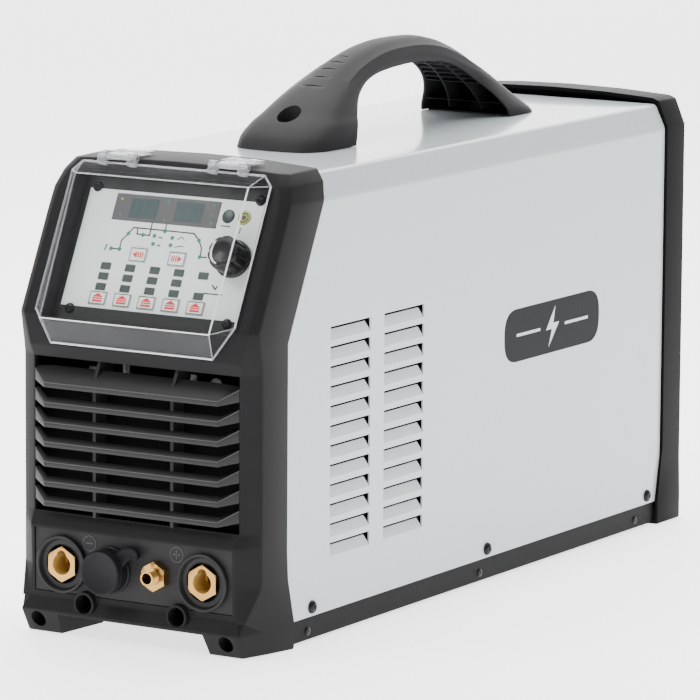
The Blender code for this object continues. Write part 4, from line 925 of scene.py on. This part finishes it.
# ------------------------------------------------------------------ rear bezel
def rear_outline(inset, low):
    r = [(103.0, 20.0), (102.2, 50.0), (102.2, 314.5)]
    r = [(x - inset, z) for x, z in r] + [(94.0 - inset, 334.5 - inset * 0.8), (88.0 - inset, 336.6 - inset), (45.0, 339.0 - inset), (0.0, 339.8 - inset)]
    pts = [(103.0 - inset, low)] + r
    return pts + [(-x, z) for x, z in reversed(pts[:-1])]


rear = beveled(prism(rear_outline(0.0, 0.0), AY, 545.0, 583.0), 1.4, 3, 25)
rear = cut(rear, prism([(540.0, 60.0), (553.6, 60.0), (553.6, 360.0), (540.0, 360.0)], AX, -130, 130),
           prism([(540.0, 8.0), (545.6, 20.0), (553.6, 60.0), (540.0, 60.0)], AX, -130, 130),
           prism(rear_outline(3.0, 16.0), AY, 500.0, 600.0),
           prism([(-63, -5), (63, -5), (57, 12.6), (-57, 12.6)], AY, 500.0, 600.0))
flange = cut(prism(rear_outline(2.0, 14.0), AY, 561.0, 564.0), prism(rear_outline(10.0, 23.0), AY, 500.0, 600.0))
rear = union(rear, flange)
rear = cut(rear, box((-100.5, 530.0, 14.0), (100.5, 553.6, 350.0)))
# the rear bezel takes the darker copy of the charcoal moulding, a painted shade
add("rear_bezel_shell", rear, 'bezel_rear_shaded', replaces=["rear_bezel"], smooth=24)

# fittings of the rear panel
rs = [screw_mesh(P(sx * x, 566.45, z), (0, 1, 0), 4.0, 2.2, shank=0.3) for sx in (-1, 1) for x, z in ((85.0, 318.0), (91.0, 172.0), (91.0, 30.0))]
add("rear_panel_screws", merged(*rs), 'steel_black', smooth=40)
ribs = [cyl(P(-52 + 11.1 * math.cos(math.tau * k / 16), 573.2, 52 + 11.1 * math.sin(math.tau * k / 16)), (0, 1, 0), 0.9, 4.0, 8) for k in range(16)]
ribs.append(cut(cyl(P(-52, 566.9, 52), (0, 1, 0), 17.0, 3.4, 6), cyl(P(-52, 560, 52), (0, 1, 0), 14.2, 20.0, 40)))
add("gland_nut_and_ribs", merged(*ribs), 'black', smooth=35)
add("gas_inlet_barbs", lathe(P(40, 0, 52), (0, 1, 0), [(3.6, 572.6), (5.4, 572.6), (4.4, 575.4), (5.3, 575.6), (4.3, 578.2), (5.2, 578.4), (4.1, 581.4), (3.6, 581.4)], 36), 'brass', smooth=35)
add("earth_nut_washer", lathe(P(0, 0, 40), (0, 1, 0), [(4.2, 572.4), (6.4, 572.4), (6.4, 573.4), (4.2, 573.4)], 32), 'steel', smooth=35)
add("rocker_signs", merged(prism([(573.5, 297.3), (571.3, 301.1), (571.6, 301.3), (573.8, 297.5)], AX, 50.5, 51.5),
                           lathe(P(51.0, 0, 306.8), (0, 1, 0), [(1.5, 568.4), (2.1, 568.4), (2.1, 569.8), (1.5, 569.8)], 28)), 'white_mark', body="rocker", smooth=35)

# ------------------------------------------------------------------ handle
CREST = [  # crest point, inner point, half width
    ((131.0, 332.4), (193.0, 332.4), 38.0),
    ((136.0, 340.0), (195.0, 340.5), 37.6),
    ((147.0, 348.5), (199.0, 348.0), 35.6),
    ((160.0, 356.3), (203.0, 352.5), 32.6),
    ((175.0, 365.4), (208.5, 357.5), 29.4),
    ((191.4, 374.4), (214.5, 363.0), 26.2),
    ((208.0, 382.2), (221.5, 368.0), 23.8),
    ((224.7, 389.0), (233.0, 373.8), 21.4),
    ((244.0, 394.6), (248.0, 378.0), 19.8),
    ((264.0, 398.6), (266.0, 380.2), 18.9),
    ((284.0, 400.6), (284.0, 381.4), 18.4),
    ((305.0, 401.0), (305.0, 382.0), 18.2),
    ((326.0, 400.2), (326.0, 381.2), 18.5),
    ((347.0, 397.4), (346.0, 379.4), 19.2),
    ((366.0, 392.6), (364.0, 375.4), 20.2),
    ((386.0, 385.0), (378.0, 369.2), 21.8),
    ((405.0, 375.2), (388.5, 362.6), 24.2),
    ((424.0, 362.8), (397.0, 356.6), 27.8),
    ((441.0, 350.8), (404.0, 350.6), 31.6),
    ((455.0, 341.4), (410.0, 343.5), 36.0),
    ((464.0, 335.6), (413.5, 337.5), 39.2),
    ((468.0, 332.4), (415.0, 332.4), 40.0),
]


def crom(a, b, c, d, t):
    return 0.5 * ((2 * b) + (-a + c) * t + (2 * a - 5 * b + 4 * c - d) * t * t + (-a + 3 * b - 3 * c + d) * t * t * t)


def station(u):
    """Interpolated handle station at parameter u in [0, len-1]."""
    n = len(CREST)
    i = max(0, min(n - 2, int(math.floor(u))))
    t = u - i
    rows = [CREST[max(0, min(n - 1, i + k))] for k in (-1, 0, 1, 2)]
    f = [[r[0][0], r[0][1], r[1][0], r[1][1], r[2]] for r in rows]
    v = [crom(f[0][k], f[1][k], f[2][k], f[3][k], t) for k in range(5)]
    return v


def at(u, x, f):
    """Point of the handle at station u, across x, and f from crest (0) to inner side (1)."""
    yo, zo, yi, zi, w = station(u)
    return (x, yo + (yi - yo) * f, zo + (zi - zo) * f)


def profile(u):
    yo, zo, yi, zi, w = station(u)
    L = math.hypot(yi - yo, zi - zo)
    leg = min(1.0, max(0.0, (L - 20) / 25))          # 0 on the grip, 1 in the legs
    fx = 0.62 - 0.14 * (1 - leg)                     # flat part of the crest
    drop = (5.0 + 1.5 * leg) / L
    th = 3.0 / L
    rimw = 2.6
    pts = [(0, 0), (w * fx * 0.6, 0.15 * drop), (w * fx, 0.42 * drop), (w * (fx + 0.10), 0.75 * drop), (w * 0.84, 1.35 * drop), (w * 0.92, 2.1 * drop), (w * 0.975, 3.2 * drop * (0.8 + 0.2 * leg)),
           (w, min(0.80, 4.6 * drop)), (w, 0.93), (w - 0.5, 1.0), (w - rimw + 0.4, 1.0), (w - rimw, 0.96)]
    inner = [(w - rimw - 0.2, min(0.88, 4.6 * drop + 0.02)), (w * 0.90 - rimw * 0.6, min(0.84, 2.6 * drop + th)), (w * 0.72, min(0.8, 1.3 * drop + th * 1.1)), (w * fx * 0.8, min(0.8, 0.5 * drop + th * 1.1)), (0, th * 1.15)]
    half = pts + inner
    loop = half + [(-x, f) for x, f in reversed(half[1:-1])]
    return loop


NS = 84
sections = []
for k in range(NS + 1):
    u = (len(CREST) - 1) * k / NS
    loop = profile(u)
    sec = []
    for x, f in loop:
        p = at(u, x, f)
        sec.append((p[0], p[1], max(332.35, p[2])))
    sections.append(sec)
hshell = loft(sections)
hshell = triangulated(hshell)
hshell = cut(hshell, cyl(P(0, 160.0, 338.0), (0, 0, 1), 8.8, 60.0, 48))
hshell = cut(hshell, cyl(P(0, 440.0, 338.0), (0, 0, 1), 8.0, 60.0, 48))
# engraved grip lines on the front slope
for yc, zc, hw, tail in ((191.4, 374.6, 12.0, True), (202.7, 380.2, 10.0, False), (214.1, 385.0, 8.0, False), (224.7, 389.1, 6.3, False), (234.8, 392.4, 4.8, False)):
    hshell = cut(hshell, box((-hw, yc - 0.55, zc - 0.9), (hw, yc + 0.55, zc + 4.0)))
handle_bits = [hshell]
# screw wells
for y, r in ((160.0, 8.8), (440.0, 8.0)):
    wall = lathe(P(0, y, 0), (0, 0, 1), [(r, 333.0), (r, 372.0), (r + 1.6, 372.0), (r + 1.6, 333.0)], 40)
    over = [(138.0, 341.3), (147.0, 346.7), (160.0, 354.5), (175.0, 363.6), (175.0, 400.0), (138.0, 400.0)] if y < 200 else \
           [(424.0, 361.0), (441.0, 349.0), (455.0, 339.6), (460.0, 336.3), (460.0, 400.0), (424.0, 400.0)]
    handle_bits.append(cut(wall, prism(over, AX, -20.0, 20.0)))
# honeycomb ribs on the underside
def plate(u0, u1, f0, f1, side=0.96):
    a, b = [], []
    for u, dst in ((u0, a), (u1, b)):
        yo, zo, yi, zi, w = station(u)
        xw = (w - 2.4) * side
        for x, f in ((-xw, f1), (-xw, f0 + 0.18), (-xw * 0.55, f0), (xw * 0.55, f0), (xw, f0 + 0.18), (xw, f1)):
            p = at(u, x, f)
            dst.append((p[0], p[1], max(332.6, p[2])))
    return loft([a, b])


us = [2.2, 2.9, 3.6, 4.3, 5.0, 5.7, 6.4, 7.1, 7.7, 8.3, 8.9, 9.5, 10.1, 10.7, 11.3, 11.9, 12.5, 13.1, 13.7, 14.3, 14.9, 15.5, 16.1, 16.7, 17.3, 17.9, 18.5, 19.2]
for u in us:
    yo, zo, yi, zi, w = station(u)
    L = math.hypot(yi - yo, zi - zo)
    du = 0.045
    if abs(yo - 160) < 14 or abs(yo - 440) < 12:
        continue
    handle_bits.append(plate(u - du, u + du, 3.6 / L, 0.985))
for fx in (-0.36, 0.36):
    secs = []
    for k in range(60):
        u = 1.2 + (len(CREST) - 1 - 2.0) * k / 59
        yo, zo, yi, zi, w = station(u)
        L = math.hypot(yi - yo, zi - zo)
        x = fx * w
        s_ = []
        for dx, f in ((-0.7, 3.4 / L), (0.7, 3.4 / L), (0.7, 0.98), (-0.7, 0.98)):
            p = at(u, x + dx, f)
            s_.append((p[0], p[1], max(332.6, p[2])))
        secs.append(s_)
    handle_bits.append(loft(secs))
def seat(half):
    return prism(half + [(-x, y) for x, y in reversed(half)], AZ, 332.05, 333.1)
pads = [seat([(25.0, 136.5), (30.0, 141.0), (33.0, 146.0), (35.0, 153.0), (35.5, 188.0)]), seat([(25.0, 462.5), (30.0, 458.0), (34.0, 451.0), (36.0, 440.0), (36.0, 420.0)])]
add("handle_seat_pads", merged(*pads), 'black', smooth=30)
add("handle_shell", merged(*handle_bits), 'handle', replaces=["handle"], smooth=34)
for n, y in (("handle_screw_front", 160.0), ("handle_screw_rear", 440.0)):
    add(n + "_head", screw_mesh(P(0, y, 340.4), (0, 0, 1), 5.4, 3.6, shank=16.0), 'steel_black', replaces=[n], smooth=40)

# ------------------------------------------------------------------ painted shade: dark inner liner behind the vents and the grille
liner = merged(box((95.0, 40.0, 50.0), (95.6, 200.0, 240.0)), box((-95.6, 40.0, 50.0), (-95.0, 200.0, 240.0)),
               box((-95.0, -30.5, 84.0), (95.0, -30.0, 180.0)), box((-95.0, -7.0, 176.0), (95.0, -6.0, 206.0)))
add("vent_painted_shade_backing", liner, 'cavity')
bits = [box((-58.0, -14.0, 176.0), (-38.0, -8.0, 190.0), 1.0), box((-30.0, -12.0, 178.0), (-24.0, -8.0, 194.0), 0.6), box((20.0, -14.0, 180.0), (34.0, -8.0, 192.0), 1.0),
        cyl(P(50.0, -14.0, 186.0), (0, 1, 0), 5.0, 7.0, 20)]
add("inner_terminals", merged(*bits), 'steel')

# ------------------------------------------------------------------ floor, light, camera
fl = bpy.data.meshes.new("floor")
bm = bmesh.new()
bmesh.ops.create_grid(bm, x_segments=8, y_segments=8, size=6.0)
for v in bm.verts:
    v.co.z = -0.0002
bm.to_mesh(fl)
bm.free()
floor = bpy.data.objects.new("floor", fl)
bpy.context.scene.collection.objects.link(floor)
fl.materials.append(M['floor'])
bd = bpy.data.meshes.new("backdrop")
bm = bmesh.new()
bmesh.ops.create_grid(bm, x_segments=2, y_segments=2, size=8.0)
bm.to_mesh(bd)
bm.free()
drop = bpy.data.objects.new("backdrop", bd)
drop.location = (-4.4, 7.2, 2.2)
drop.rotation_euler = (math.radians(90), 0, math.radians(31.37))
bpy.context.scene.collection.objects.link(drop)
bd.materials.append(M['backdrop'])

world = bpy.data.worlds.new("studio")
bpy.context.scene.world = world
world.use_nodes = True
bg = world.node_tree.nodes["Background"]
bg.inputs["Color"].default_value = (1.0, 1.0, 1.0, 1)
bg.inputs["Strength"].default_value = 0.5


def area(name, loc, target, size, power, size_y=None):
    l = bpy.data.lights.new(name, 'AREA')
    l.energy = power
    l.size = size
    if size_y:
        l.shape = 'RECTANGLE'
        l.size_y = size_y
    o = bpy.data.objects.new(name, l)
    o.location = loc
    d = Vector(target) - Vector(loc)
    o.rotation_euler = d.to_track_quat('-Z', 'Y').to_euler()
    bpy.context.scene.collection.objects.link(o)
    return o


area("key_left", (-1.2, -1.6, 2.4), (0, -0.1, 0.2), 1.2, 46)
area("top_soft", (-0.2, 0.6, 2.2), (0, 0, 0.3), 2.2, 95)
area("right_fill", (2.6, -0.4, 1.0), (0, 0, 0.2), 1.4, 2.5)

az, el, roll = math.radians(31.37), math.radians(9.29), math.radians(0.38)
r = Vector((math.cos(az), math.sin(az), 0))
fw = Vector((-math.sin(az) * math.cos(el), math.cos(az) * math.cos(el), -math.sin(el)))
up = r.cross(fw)
R = r * math.cos(roll) + up * math.sin(roll)
U = -r * math.sin(roll) + up * math.cos(roll)
cam_data = bpy.data.cameras.new("camera")
cam_data.sensor_width = 36.0
cam_data.lens = 270.37
cam_data.clip_end = 50
cam = bpy.data.objects.new("camera", cam_data)
mw = Matrix((R, U, -fw)).transposed().to_4x4()
mw.translation = Vector((2.01411, -3.05633 - 0.2625, 0.80362))
cam.matrix_world = mw
bpy.context.scene.collection.objects.link(cam)
bpy.context.scene.camera = cam
